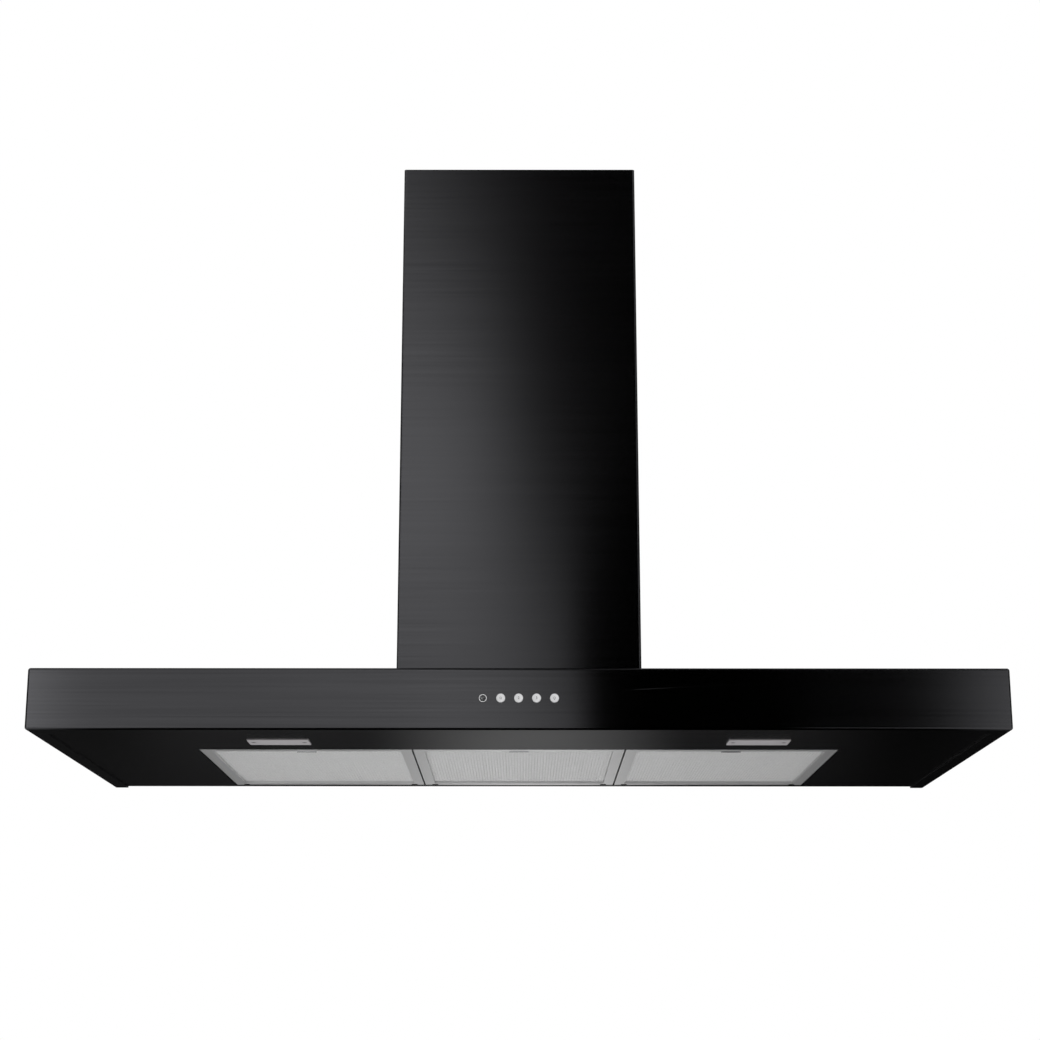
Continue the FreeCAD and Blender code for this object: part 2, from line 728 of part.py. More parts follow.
def make_lamp_boards():
    """Two boards of light-emitting diodes under the roofs of the housings."""
    boards = []
    for way in (-1, 1):
        middle = lamp_x(way)
        half_x = "(lamp_box_width / 2 - sheet - seat_gap)"
        half_y = "(lamp_box_depth / 2 - sheet - seat_gap)"
        top = f"({PANEL_TOP} + lamp_box_height - sheet)"
        low = f"({top} - board_thickness)"
        board = new_body("Board", x=middle, y=LAMP_Y, listed=False)
        outline = [rectangle(f"-{half_x}", half_x, f"-{half_y}", half_y)]
        add_pad(board, "XY_Plane", outline, low, top)
        for column in (-2, -1, 0, 1, 2):
            for row in (-1, 1):
                x, y = f"{column} * led_pitch", f"{row} * led_pitch / 2"
                chip = rectangle(f"{x} - led_size / 2", f"{x} + led_size / 2",
                                 f"{y} - led_size / 2", f"{y} + led_size / 2")
                add_pad(board, "XY_Plane", [chip], f"{low} - led_height", low)
        boards.append(board)
    add_group("lamp_boards", boards)


def make_lamp_screws():
    """Four screws that hold lens, panel and housing together."""
    screws = []
    low = f"({PANEL_LOW} - lens_thickness + lamp_screw_sink)"
    for way in (-1, 1):
        for end in (-1, 1):
            x = f"{lamp_x(way)} + {end} * lamp_screw_pitch / 2"
            screws.append(add_screw("LampScrew", x, LAMP_Y, low, "lamp_screw_length", down=True))
    add_group("lamp_screws", screws)


def make_buttons():
    """Four round push buttons, each with a collar behind the sheet and a stem."""
    for number in range(1, 5):
        body = new_body(f"button_{number}", x=f"{number - 2} * control_pitch", y=FRONT,
                        z="control_height")
        behind = "(sheet + seat_gap)"
        after = f"({behind} + collar_thickness)"
        end = f"({after} + stem_length)"
        profile = [("0", "-button_proud"), ("button_radius - button_edge", "-button_proud"),
                   ("button_radius", "button_edge - button_proud"), ("button_radius", behind),
                   ("collar_radius", behind), ("collar_radius", after), ("stem_radius", after),
                   ("stem_radius", end), ("0", end)]
        add_revolution(body, "XY_Plane", profile)


def make_indicator():
    """Clear domed lens in a bright ring, left of the buttons."""
    place = {"x": "-2 * control_pitch", "y": FRONT, "z": "control_height"}
    ring = new_body("indicator_ring", **place)
    inner, outer = "indicator_radius + screw_gap", "indicator_radius + indicator_ring"
    wide = f"{outer} + button_gap + indicator_flange"
    add_revolution(ring, "XY_Plane", [
        (inner, "-indicator_flange"), (wide, "-indicator_flange"), (wide, "0"), (outer, "0"),
        (outer, "indicator_depth"), (inner, "indicator_depth")])
    lens = new_body("indicator_lens", **place)
    profile = [("0", "-indicator_proud"), ("indicator_radius", "-indicator_proud"),
               ("indicator_radius", "indicator_depth"), ("0", "indicator_depth")]
    add_revolution(lens, "XY_Plane", profile)
    add_fillet(lens, "indicator_proud",
               lambda edge: edge.Closed and edge.BoundBox.YMax < 0 and edge.BoundBox.XLength > 1)


GUIDE_HALF = "(2 * control_pitch + guide_margin)"
GUIDE_FRONT = f"({FRONT} + sheet)"


def make_button_guide():
    """Moulded block behind the front that guides the stems and carries the switch board."""
    body = new_body("button_guide", y=GUIDE_FRONT, z="control_height")
    half_z = "guide_height / 2"
    outline = rectangle(f"-{GUIDE_HALF}", GUIDE_HALF, f"-{half_z}", half_z)
    add_pad(body, "XZ_Plane", [outline], "0", "guide_depth")
    in_x, in_z = f"({GUIDE_HALF} - guide_wall)", f"({half_z} - guide_wall)"
    pocket = rectangle(f"-{in_x}", in_x, f"-{in_z}", in_z)
    add_pocket(body, "XZ_Plane", [pocket], "0", "guide_pocket")
    add_pocket(body, "XZ_Plane", [pocket], "guide_pocket + guide_web", "guide_depth")
    holes = [[(f"{place} * control_pitch", "0", "stem_radius + button_gap")]
             for place in range(-1, 3)]
    holes.append([("-2 * control_pitch", "0", "indicator_radius + indicator_ring + button_gap")])
    add_pocket(body, "XZ_Plane", holes, "guide_pocket", "guide_pocket + guide_web")


def make_switch_board():
    """Printed board on the back of the guide, with four push switches and a diode."""
    body = new_body("switch_board", y=f"{GUIDE_FRONT} + guide_depth", z="control_height")
    half_z = "guide_height / 2"
    outline = rectangle(f"-{GUIDE_HALF}", GUIDE_HALF, f"-{half_z}", half_z)
    add_pad(body, "XZ_Plane", [outline], "0", "board_thickness")
    stem_end = "(seat_gap + collar_thickness + stem_length)"
    reach = f"(guide_depth - {stem_end} - button_travel - seat_gap)"
    for place in range(-1, 3):
        x, half = f"{place} * control_pitch", "switch_size / 2"
        key = rectangle(f"{x} - {half}", f"{x} + {half}", f"-{half}", half)
        add_pad(body, "XZ_Plane", [key], f"-{reach}", "0")
    diode = [[("-2 * control_pitch", "0", "diode_radius")]]
    add_pad(body, "XZ_Plane", diode, "indicator_depth + seat_gap - sheet - guide_depth", "0")


def make_button_springs():
    """Four coil springs between the buttons' collars and the web of the guide."""
    springs = []
    start = size("seat_gap") + size("collar_thickness")
    length = size("guide_pocket") - start
    wire = size("button_spring_wire")
    pitch = (length - wire) / size("button_spring_turns")
    sides = int(size("button_spring_sides"))
    radius = size("button_spring_radius")
    turn = FreeCAD.Rotation(FreeCAD.Vector(0, 1, 0), 360 / sides)
    spoke = FreeCAD.Vector(wire / 2, 0, 0)
    corners = []
    for _ in range(sides):
        corners.append(FreeCAD.Vector(radius, 0, 0) + spoke)
        spoke = turn.multVec(spoke)
    section = Part.makePolygon(corners + corners[:1])
    for place in range(-1, 3):
        helix = Part.makeHelix(pitch, length - wire, radius)
        coil = Part.Wire(helix).makePipeShell([section], True, True)
        spring = document.addObject("Part::Feature", "Spring")
        spring.Shape = coil
        x = place * size("control_pitch")
        y = -size("canopy_depth") + size("sheet") + start + wire / 2
        tilt = FreeCAD.Rotation(FreeCAD.Vector(1, 0, 0), -90)
        spring.Placement = FreeCAD.Placement(FreeCAD.Vector(x, y, size("control_height")), tilt)
        springs.append(spring)
    add_group("button_springs", springs)


BOX_FRONT = f"({FRONT} + control_box_from_front)"


def make_control_box():
    """Open tray with the power board, and its lid, on the front strip of the panel."""
    half = "control_box_width / 2"
    rear = f"({BOX_FRONT} + control_box_depth)"
    wall = "control_box_wall"
    top = f"({PANEL_TOP} + control_box_height)"
    tray = new_body("control_box")
    outline = rectangle(f"-{half}", half, BOX_FRONT, rear)
    add_pad(tray, "XY_Plane", [outline], PANEL_TOP, top)
    inside = rectangle(f"{wall} - {half}", f"{half} - {wall}",
                       f"{BOX_FRONT} + {wall}", f"{rear} - {wall}")
    add_pocket(tray, "XY_Plane", [inside], f"{PANEL_TOP} + {wall}", top)
    rib = "power_board_gap"
    for way in (-1, 1):
        x = f"({way} * (control_box_width / 2 - {wall} - {rib} / 2))"
        post = rectangle(f"{x} - {rib} / 2", f"{x} + {rib} / 2",
                         f"{BOX_FRONT} + {wall}", f"{rear} - {wall}")
        add_pad(tray, "XY_Plane", [post], f"{PANEL_TOP} + {wall}", f"{PANEL_TOP} + {wall} + {rib}")
    lid = new_body("control_box_lid")
    add_pad(lid, "XY_Plane", [outline], top, f"{top} + {wall}")
    gap = "seat_gap"
    board_low = f"({PANEL_TOP} + {wall} + {rib})"
    board = new_body("power_board")
    plate = rectangle(f"{wall} + {gap} - {half}", f"{half} - {wall} - {gap}",
                      f"{BOX_FRONT} + {wall} + {gap}", f"{rear} - {wall} - {gap}")
    add_pad(board, "XY_Plane", [plate], board_low, f"{board_low} + board_thickness")
    low = f"({board_low} + board_thickness)"
    for place in (-1, 0, 1):
        x, y = f"({place} * relay_pitch)", f"({BOX_FRONT} + control_box_depth / 2)"
        relay = rectangle(f"{x} - relay_size / 2", f"{x} + relay_size / 2",
                          f"{y} - relay_size / 2", f"{y} + relay_size / 2")
        add_pad(board, "XY_Plane", [relay], low, f"{low} + relay_height")


def make_lamp_leads():
    """Two short leads that lie on the panel between the lamp housings and the control box."""
    leads = []
    y = f"({BOX_FRONT} + control_box_depth - lamp_lead_inset)"
    length = "(lamp_offset - lens_width / 2 - control_box_width / 2 - 2 * seat_gap)"
    starts = (f"-lamp_offset + lens_width / 2 + seat_gap", "control_box_width / 2 + seat_gap")
    for x in starts:
        z = f"{PANEL_TOP} + lead_radius + seat_gap"
        leads.append(add_cylinder("Lead", x, y, z, "lead_radius", length, (1, 0, 0)))
    add_group("lamp_leads", leads)


def make_chamber():
    """Sheet-metal box over the canopy's opening that holds the blower."""
    body = new_body("blower_chamber", y=CHAMBER_MID, z=CANOPY_TOP)
    half_x, half_y = "chamber_width / 2", "chamber_depth / 2"
    in_x, in_y = f"({half_x} - sheet)", f"({half_y} - sheet)"
    outline = rectangle(f"-{half_x}", half_x, f"-{half_y}", half_y)
    inside = rectangle(f"-{in_x}", in_x, f"-{in_y}", in_y)
    add_pad(body, "XY_Plane", [outline], "0", "chamber_height")
    add_pocket(body, "XY_Plane", [inside], "0", "chamber_height - sheet")
    out_x, out_y = f"({half_x} + chamber_flange)", f"({half_y} + chamber_flange)"
    foot = rectangle(f"-{out_x}", out_x, f"-{out_y}", out_y)
    holes = screw_holes(chamber_screw_places())
    add_pad(body, "XY_Plane", [foot, inside] + holes, "0", "sheet")
    outlet = rectangle("-outlet_width / 2", "outlet_width / 2",
                       "-outlet_depth / 2", "outlet_depth / 2")
    gland = [(f"{half_x} - gland_from_side", f"{half_y} - gland_from_back",
              "gland_radius + screw_gap")]
    add_pocket(body, "XY_Plane", [outlet, gland], "chamber_height - sheet", "chamber_height")


def make_chamber_screws():
    """Six screws through the chamber's foot into the canopy's top."""
    screws = [add_screw("FootScrew", x, f"{CHAMBER_MID} + {y}", f"{CANOPY_TOP} + sheet",
                        "foot_screw_length") for x, y in chamber_screw_places()]
    add_group("chamber_screws", screws)


def make_scroll():
    """Blower casing: a drum set off the wheel's axis, with a neck up to the chamber's top."""
    body = new_body("scroll_casing", y=CHAMBER_MID, z=SCROLL_Z)
    half = "scroll_width / 2"
    neck_top = "(chamber_height - sheet - scroll_axis_height)"
    in_half = f"({half} - scroll_wall)"
    in_radius = "scroll_radius - scroll_wall"
    neck = rectangle(f"-{half}", half, "-neck_depth / 2", "neck_depth / 2")
    neck_in = rectangle(f"-{in_half}", in_half, "scroll_wall - neck_depth / 2",
                        "neck_depth / 2 - scroll_wall")
    add_pad(body, "YZ_Plane", [[("0", "0", "scroll_radius")]], f"-{half}", half)
    add_pad(body, "XY_Plane", [neck], "0", neck_top)
    add_pocket(body, "YZ_Plane", [[("0", "0", in_radius)]], f"-{in_half}", in_half)
    add_pocket(body, "XY_Plane", [neck_in], "0", neck_top)
    inlet = [[("wheel_offset", "0", "inlet_radius")]]
    add_pocket(body, "YZ_Plane", inlet, f"-{half}", half)


WHEEL_Y = f"({CHAMBER_MID} + wheel_offset)"


def make_inlet_rings():
    """Two rings round the inlets on the sides of the casing."""
    rings = []
    for low in ("scroll_width / 2", "-scroll_width / 2 - inlet_ring_height"):
        ring = new_body("InletRing", y=WHEEL_Y, z=SCROLL_Z, listed=False)
        loops = [[("0", "0", "inlet_radius + inlet_ring_width")], [("0", "0", "inlet_radius")]]
        add_pad(ring, "YZ_Plane", loops, low, f"{low} + inlet_ring_height")
        rings.append(ring)
    add_group("inlet_rings", rings)


def make_impeller():
    """Double-inlet wheel: a middle plate, forward-leaning blades and two end rings."""
    body = new_body("impeller", y=WHEEL_Y, z=SCROLL_Z)
    half = "wheel_length / 2"
    add_pad(body, "YZ_Plane", [[("0", "0", "wheel_radius")]],
            "-wheel_plate / 2", "wheel_plate / 2")
    add_pad(body, "YZ_Plane", [[("0", "0", "wheel_hub_radius")]],
            "-wheel_hub_length / 2", "wheel_hub_length / 2")
    tip, root = "(wheel_radius - wheel_plate / 2)", "(wheel_radius - blade_depth)"
    blade = [(root, "0"), (tip, "blade_lean"), (tip, "blade_lean + blade_thickness"),
             (root, "blade_thickness")]
    vane = add_pad(body, "YZ_Plane", [blade], f"-{half}", half)
    add_polar(body, vane, "X_Axis", "blade_count")
    ring = [[("0", "0", "wheel_radius")], [("0", "0", "wheel_radius - wheel_ring")]]
    add_pad(body, "YZ_Plane", ring, f"{half} - wheel_plate", half)
    add_pad(body, "YZ_Plane", ring, f"-{half}", f"wheel_plate - {half}")
    bore = [[("0", "0", "shaft_radius + shaft_gap")]]
    add_pocket(body, "YZ_Plane", bore, "-wheel_hub_length / 2", "wheel_hub_length / 2")


MOTOR_X = "(wheel_hub_length / 2 + motor_gap)"


def make_motor():
    """Motor with a stepped body, its shaft, and the bracket that hangs it on the casing."""
    shaft = add_cylinder("motor_shaft", "-wheel_hub_length / 2", WHEEL_Y, SCROLL_Z,
                         "shaft_radius", "shaft_length", (1, 0, 0))
    keep(shaft, "motor_shaft")
    motor = new_body("motor", x=MOTOR_X, y=WHEEL_Y, z=SCROLL_Z)
    bore, bore_end = "(shaft_radius + shaft_gap)", "(shaft_length + motor_gap)"
    cap_end = "(motor_cap_length + motor_length)"
    profile = [("0", bore), ("0", "motor_cap_radius"), ("motor_cap_length", "motor_cap_radius"),
               ("motor_cap_length", "motor_radius"), (cap_end, "motor_radius"), (cap_end, "0"),
               (bore_end, "0"), (bore_end, bore)]
    add_revolution(motor, "XY_Plane", profile, "H_Axis")
    bracket = new_body("motor_bracket", x="scroll_width / 2", y=WHEEL_Y, z=SCROLL_Z)
    lift = "inlet_ring_height + screw_gap"
    inner = "(motor_radius + screw_gap)"
    ring = [[("0", "0", f"{inner} + bracket_ring")], [("0", "0", inner)]]
    add_pad(bracket, "YZ_Plane", ring, f"{lift} + bracket_arm_thickness - bracket_ring_length",
            f"{lift} + bracket_arm_thickness")
    foot_in = "(inlet_radius + inlet_ring_width + seat_gap)"
    outer = f"({foot_in} + bracket_foot)"
    start = f"({inner} + bracket_ring / 2)"
    arm = [(lift, start), (f"{lift} + bracket_arm_thickness", start),
           (f"{lift} + bracket_arm_thickness", outer), ("0", outer), ("0", foot_in),
           (lift, foot_in)]
    bar = add_pad(bracket, "XY_Plane", [arm], "-bracket_arm_width / 2", "bracket_arm_width / 2")
    add_polar(bracket, bar, "X_Axis", "3")


def make_wall_boxes():
    """Capacitor and terminal box on the inner walls of the chamber."""
    inside = "(chamber_width / 2 - sheet)"
    z = f"({CHAMBER_TOP} - wall_box_from_top)"
    y = "(-chamber_back - sheet - terminal_depth / 2 - capacitor_radius)"
    capacitor = add_cylinder("capacitor", f"-{inside}", y, z, "capacitor_radius",
                             "capacitor_length", (1, 0, 0))
    keep(capacitor, "capacitor")
    box = new_body("terminal_box")
    plan = rectangle(f"{inside} - terminal_width", inside,
                     f"{y} - terminal_depth / 2", f"{y} + terminal_depth / 2")
    low, high = f"({z} - terminal_height / 2)", f"({z} + terminal_height / 2)"
    add_pad(box, "XY_Plane", [plan], low, high)
    add_fillet(box, "bend_radius", lambda edge: runs_along(edge, 2) and
               edge.BoundBox.XMax < size("chamber_width") / 2 - size("sheet") - 1)


def add_lead(label, points):
    """Round lead along straight runs that meet at right angles, with an arc at each corner."""
    bend = size("lead_bend")
    edges, start = [], points[0]
    for before, corner, after in zip(points, points[1:], points[2:]):
        inwards = (before - corner).normalize() * bend
        onwards = (after - corner).normalize() * bend
        centre = corner + inwards + onwards
        middle = centre - (inwards + onwards).normalize() * bend
        edges.append(Part.LineSegment(start, corner + inwards).toShape())
        edges.append(Part.Arc(corner + inwards, middle, corner + onwards).toShape())
        start = corner + onwards
    edges.append(Part.LineSegment(start, points[-1]).toShape())
    section = Part.makeCircle(size("lead_radius"), points[0], points[1] - points[0])
    lead = document.addObject("Part::Feature", label)
    lead.Shape = Part.Wire(edges).makePipeShell([Part.Wire(section)], True, False)
    keep(lead, label)


def make_leads():
    """Lead from the control box up into the terminal box, and on to the motor."""
    gap, radius = size("seat_gap"), size("lead_radius")
    clear = size("sheet") + gap + radius
    side = size("chamber_width") / 2 - clear
    box_y = size("control_box_from_front") + size("control_box_depth") / 2 - size("canopy_depth")
    box_z = 3 * size("sheet") + size("control_box_height") / 2
    roof = size("canopy_height") - clear
    front = clear + size("lead_bend") - size("chamber_back") - size("chamber_depth")
    level = size("canopy_height") + size("chamber_height") - size("wall_box_from_top")
    terminal_y = -size("chamber_back") - size("sheet") - size("terminal_depth") \
        - size("capacitor_radius") - gap
    add_lead("control_lead", [
        FreeCAD.Vector(size("control_box_width") / 2 + gap, box_y, box_z),
        FreeCAD.Vector(side, box_y, box_z), FreeCAD.Vector(side, box_y, roof),
        FreeCAD.Vector(side, front, roof), FreeCAD.Vector(side, front, level),
        FreeCAD.Vector(side, terminal_y, level)])
    motor_end = size("wheel_hub_length") / 2 + size("motor_gap") + size("motor_cap_length") \
        + size("motor_length") + gap
    lead_y = size("wheel_offset") + size("motor_lead_from_axis") - size("chamber_back") \
        - size("chamber_depth") / 2
    axis_z = size("canopy_height") + size("scroll_axis_height")
    across = size("chamber_width") / 2 - size("sheet") - size("terminal_width") / 2
    add_lead("motor_lead", [
        FreeCAD.Vector(motor_end, lead_y, axis_z), FreeCAD.Vector(across, lead_y, axis_z),
        FreeCAD.Vector(across, lead_y, level - size("terminal_height") / 2 - gap)])


def make_gland():
    """Strain-relief gland for the supply lead, screwed into the chamber's top."""
    body = new_body("cable_gland", x="chamber_width / 2 - gland_from_side",
                    y="-chamber_back - gland_from_back", z=CHAMBER_TOP)
    nut_low = "(-sheet - gland_locknut_height)"
    profile = [("gland_bore", "-gland_below"), ("gland_radius", "-gland_below"),
               ("gland_radius", nut_low), ("gland_nut_radius", nut_low),
               ("gland_nut_radius", "-sheet"), ("gland_radius", "-sheet"), ("gland_radius", "0"),
               ("gland_nut_radius", "0"), ("gland_nut_radius", "gland_nut_height"),
               ("gland_radius", "gland_nut_height + gland_nut_chamfer"),
               ("gland_radius", "gland_above"), ("gland_bore", "gland_above")]
    add_revolution(body, "XZ_Plane", profile)


def make_collar():
    """Round duct collar on the chamber's top, with stops and pin holes for the flaps."""
    body = new_body("outlet_collar", y=CHAMBER_MID, z=CHAMBER_TOP)
    inner = "(duct_radius - duct_wall)"
    profile = [(inner, "0"), ("duct_base_radius", "0"), ("duct_base_radius", "duct_base"),
               ("duct_radius", "duct_base"), ("duct_radius", "duct_base + duct_height"),
               (inner, "duct_base + duct_height")]
    add_revolution(body, "XZ_Plane", profile)
    low = "(damper_height - damper_thickness / 2 - seat_gap - damper_stop)"
    for way in (-1, 1):
        near, far = f"{way} * ({inner} - damper_stop)", f"{way} * (duct_radius - duct_wall / 2)"
        y_low, y_high = (far, near) if way < 0 else (near, far)
        stop = rectangle("-damper_stop", "damper_stop", y_low, y_high)
        add_pad(body, "XY_Plane", [stop], low, f"{low} + damper_stop")
    hole = [[("0", "damper_height", "damper_pin_radius")]]
    add_pocket(body, "YZ_Plane", hole, "-duct_radius", "duct_radius")


def make_dampers():
    """Two half-round flaps that share one pin and lie on the collar's stops."""
    length = "(2 * duct_radius)"
    pin = add_cylinder("damper_pin", "-duct_radius", CHAMBER_MID, DAMPER_Z,
                       "damper_pin_radius", length, (1, 0, 0))
    keep(pin, "damper_pin")
    reach = "(duct_radius - duct_wall - damper_edge_gap)"
    for side, way in (("front", -1), ("rear", 1)):
        body = new_body(f"damper_flap_{side}", y=CHAMBER_MID, z=DAMPER_Z)
        half = "damper_thickness / 2"
        add_pad(body, "XY_Plane", [[("0", "0", reach)]], f"-{half}", half)
        edge = "(damper_knuckle_radius + seat_gap)"
        beyond = "duct_radius"
        y_low, y_high = (f"-{edge}", beyond) if way < 0 else (f"-{beyond}", edge)
        away = rectangle(f"-{beyond}", beyond, y_low, y_high)
        add_pocket(body, "XY_Plane", [away], f"-{half}", half)
        knuckles = flap_knuckles(side)
        for low, high in knuckles:
            barrel = [[("0", "0", "damper_knuckle_radius")]]
            add_pad(body, "YZ_Plane", barrel, low, high)
            arm_y = (f"-2 * {edge}", "0") if way < 0 else ("0", f"2 * {edge}")
            add_pad(body, "XY_Plane", [rectangle(low, high, *arm_y)], f"-{half}", half)
        bore = [[("0", "0", "damper_pin_radius + shaft_gap")]]
        add_pocket(body, "YZ_Plane", bore, "-duct_radius", "duct_radius")


def flap_knuckles(side):
    """Lengthwise spans of a flap's knuckles; the front flap has two, the rear one between."""
    half = "damper_knuckle / 2"
    if side == "rear":
        return [(f"-{half}", half)]
    near, far = f"{half} + seat_gap", f"{half} + seat_gap + {half}"
    return [(near, far), (f"-({far})", f"-({near})")]


def flue_profile(half, front, back, wall):
    """Plan of a three-sided cover with short returns along the wall."""
    inner = f"({half} - {wall})"
    lip = f"({half} - flue_return)"
    return [(f"-{half}", front), (half, front), (half, back), (lip, back),
            (lip, f"{back} - {wall}"), (inner, f"{back} - {wall}"), (inner, f"{front} + {wall}"),
            (f"-{inner}", f"{front} + {wall}"), (f"-{inner}", f"{back} - {wall}"),
            (f"-{lip}", f"{back} - {wall}"), (f"-{lip}", back), (f"-{half}", back)]


UPPER_HALF = "(flue_width / 2 - sheet - flue_gap)"
UPPER_FRONT = "(sheet + flue_gap - flue_depth)"
UPPER_BACK = "(-sheet - seat_gap)"
FIXING_Y = f"({UPPER_BACK} - sheet - seat_gap - flue_bracket_tab / 2)"


def make_flue_covers():
    """Fixed lower cover and the upper cover that telescopes out of it."""
    lower = new_body("lower_flue_cover")
    plan = flue_profile("(flue_width / 2)", "(-flue_depth)", "0", "sheet")
    add_pad(lower, "XY_Plane", [plan], CANOPY_TOP, "flue_top")
    round_front_bends(lower, size("flue_depth"))
    upper = new_body("upper_flue_cover")
    plan = flue_profile(UPPER_HALF, UPPER_FRONT, UPPER_BACK, "sheet")
    add_pad(upper, "XY_Plane", [plan], "upper_flue_base", "flue_top - upper_flue_drop")
    round_front_bends(upper, size("flue_depth") - size("sheet") - size("flue_gap"))
    fixing = [[(FIXING_Y, f"{BRACKET_TOP} - flue_bracket_height / 2", "flue_fixing_radius")]]
    add_pocket(upper, "YZ_Plane", fixing, f"-{UPPER_HALF}", UPPER_HALF)


def round_front_bends(body, front):
    """Round the two upright bends of a cover, outside and inside the sheet."""
    wall = size("sheet")
    add_fillet(body, "bend_radius",
               lambda edge: runs_along(edge, 2) and abs(edge.BoundBox.YMin + front) < 0.01)
    add_fillet(body, "bend_radius - sheet", lambda edge: runs_along(edge, 2)
               and abs(edge.BoundBox.YMin + front - wall) < 0.01)


def make_flue_feet():
    """Angle brackets that stand the lower cover on the canopy, with their screws."""
    brackets = []
    top = f"({CANOPY_TOP} + foot_thickness)"
    end = f"({CANOPY_TOP} + foot_height)"
    for way in (-1, 1):
        profile = [(f"{way} * {x}", z) for x, z in (
            (FOOT_TOE, CANOPY_TOP), (FOOT_OUTER, CANOPY_TOP), (FOOT_OUTER, end),
            (FOOT_LEG, end), (FOOT_LEG, top), (FOOT_TOE, top))]
        bracket = new_body("FlueFoot", y=CHAMBER_MID, listed=False)
        add_pad(bracket, "XZ_Plane", [profile], "-foot_length / 2", "foot_length / 2")
        holes = screw_holes([(x, y) for x, y in flue_screw_places() if x.startswith(f"{way} ")])
        add_pocket(bracket, "XY_Plane", holes, CANOPY_TOP, top)
        brackets.append(bracket)
    screws = [add_screw("FlueFootScrew", x, f"{CHAMBER_MID} + {y}", top, "foot_screw_length")
              for x, y in flue_screw_places()]
    add_group("flue_feet", brackets)
    add_group("flue_foot_screws", screws)


HANGER_TOP = f"({CHAMBER_TOP} - hanger_from_top + hanger_height)"


def make_wall_hanger():
    """Wall rail with an upturned lip, and the hook on the chamber's back that rests on it."""
    half = "hanger_width / 2"
    low = f"({HANGER_TOP} - hanger_height)"
    rail = new_body("wall_hanger")
    thick, lip = "hanger_thickness", "hanger_lip"
    shelf = f"({HANGER_TOP} - {lip})"
    profile = [("0", low), ("0", shelf), (f"-{lip} + {thick}", shelf),
               (f"-{lip} + {thick}", HANGER_TOP), (f"-{lip}", HANGER_TOP),
               (f"-{lip}", f"{shelf} - {thick}"), (f"-{thick}", f"{shelf} - {thick}"),
               (f"-{thick}", low)]
    add_pad(rail, "YZ_Plane", [profile], f"-{half}", half)
    hole_z = f"({low} + {shelf} - {thick}) / 2"
    holes = [[(f"{way} * hanger_hole_spacing / 2", hole_z, "hanger_hole_radius")]
             for way in (-1, 1)]
    add_pocket(rail, "XZ_Plane", holes, f"-{thick}", "0")
    hook = new_body("chamber_hook")
    plate = "hook_plate"
    back = "(-chamber_back)"
    rear = f"(-{lip} + {thick} + hook_rest_gap + {plate})"
    profile = [(back, f"{HANGER_TOP} - hook_height"), (back, f"{HANGER_TOP} + {plate}"),
               (rear, f"{HANGER_TOP} + {plate}"), (rear, f"{HANGER_TOP} - hook_drop"),
               (f"{rear} - {plate}", f"{HANGER_TOP} - hook_drop"),
               (f"{rear} - {plate}", HANGER_TOP), (f"{back} + {plate}", HANGER_TOP),
               (f"{back} + {plate}", f"{HANGER_TOP} - hook_height")]
    add_pad(hook, "YZ_Plane", [profile], f"-{half}", half)


def make_flue_bracket():
    """Bracket on the wall whose tabs stand inside the upper cover, to be screwed to it."""
    wall = "flue_bracket_thickness"
    step = f"({UPPER_HALF} - flue_return - seat_gap)"
    tab = f"({UPPER_HALF} - sheet - seat_gap)"
    near = f"({UPPER_BACK} - sheet - seat_gap)"
    far = f"({near} - flue_bracket_tab)"
    half = [(step, "0"), (step, near), (tab, near), (tab, far), (f"{tab} - {wall}", far),
            (f"{tab} - {wall}", f"{near} - {wall}"), (f"{step} - {wall}", f"{near} - {wall}"),
            (f"{step} - {wall}", f"-{wall}")]
    mirrored = [(f"-({x})", y) for x, y in reversed(half)]
    body = new_body("flue_wall_bracket")
    low = f"({BRACKET_TOP} - flue_bracket_height)"
    middle = f"({BRACKET_TOP} - flue_bracket_height / 2)"
    add_pad(body, "XY_Plane", [half + mirrored], low, BRACKET_TOP)
    holes = [[(f"{way} * flue_bracket_hole_spacing / 2", middle, "flue_bracket_hole_radius")]
             for way in (-1, 1)]
    add_pocket(body, "XZ_Plane", holes, f"-{wall}", "0")
    fixing = [[(FIXING_Y, middle, "flue_fixing_radius")]]
    add_pocket(body, "YZ_Plane", fixing, f"-{tab}", tab)


def check_document():
    """Stop if an object failed, a cut removed nothing or a sub-part is not sound."""
    for item in document.Objects:
        if "Invalid" in item.State or "Error" in item.State:
            raise RuntimeError(f"{item.Name} of {item.Label} failed: {item.State}")
    for pocket in cuts:
        if pocket.Shape.Volume >= pocket.BaseFeature.Shape.Volume - 1e-6:
            raise RuntimeError(f"{pocket.Name} removed nothing")
    for node in nodes:
        if node.Shape.isNull() or not node.Shape.isValid() or not node.Shape.Solids:
            raise RuntimeError(f"{node.Label} is not a valid solid")


def main():
    """Build the hood, check it and write one file for each sub-part."""
    fill_sheet()
    make_canopy_shell()
    make_canopy_back()
    make_underside_panel()
    make_filter_dividers()
    make_filter_hooks()
    for side, place in SIDES.items():
        make_filter(side, place)
    for side in ("left", "right"):
        make_lamp(side, SIDES[side])
    make_lamp_boards()
    make_lamp_screws()
    make_buttons()
    make_indicator()
    make_button_guide()
    make_switch_board()
    make_button_springs()
    make_control_box()
    make_lamp_leads()
    make_chamber()
    make_chamber_screws()
    make_scroll()
    make_inlet_rings()
    make_impeller()
    make_motor()
    make_wall_boxes()
    make_leads()
    make_gland()
    make_collar()
    make_dampers()
    make_flue_covers()
    make_flue_feet()
    make_wall_hanger()
    make_flue_bracket()
    document.recompute()
    check_document()
    os.makedirs("parts", exist_ok=True)
    for node in nodes:
        node.Shape.exportStep(f"parts/{node.Label}.step")
        print(f"{node.Label}: {len(node.Shape.Solids)} solids, {node.Shape.Volume:.0f} mm3")


main()
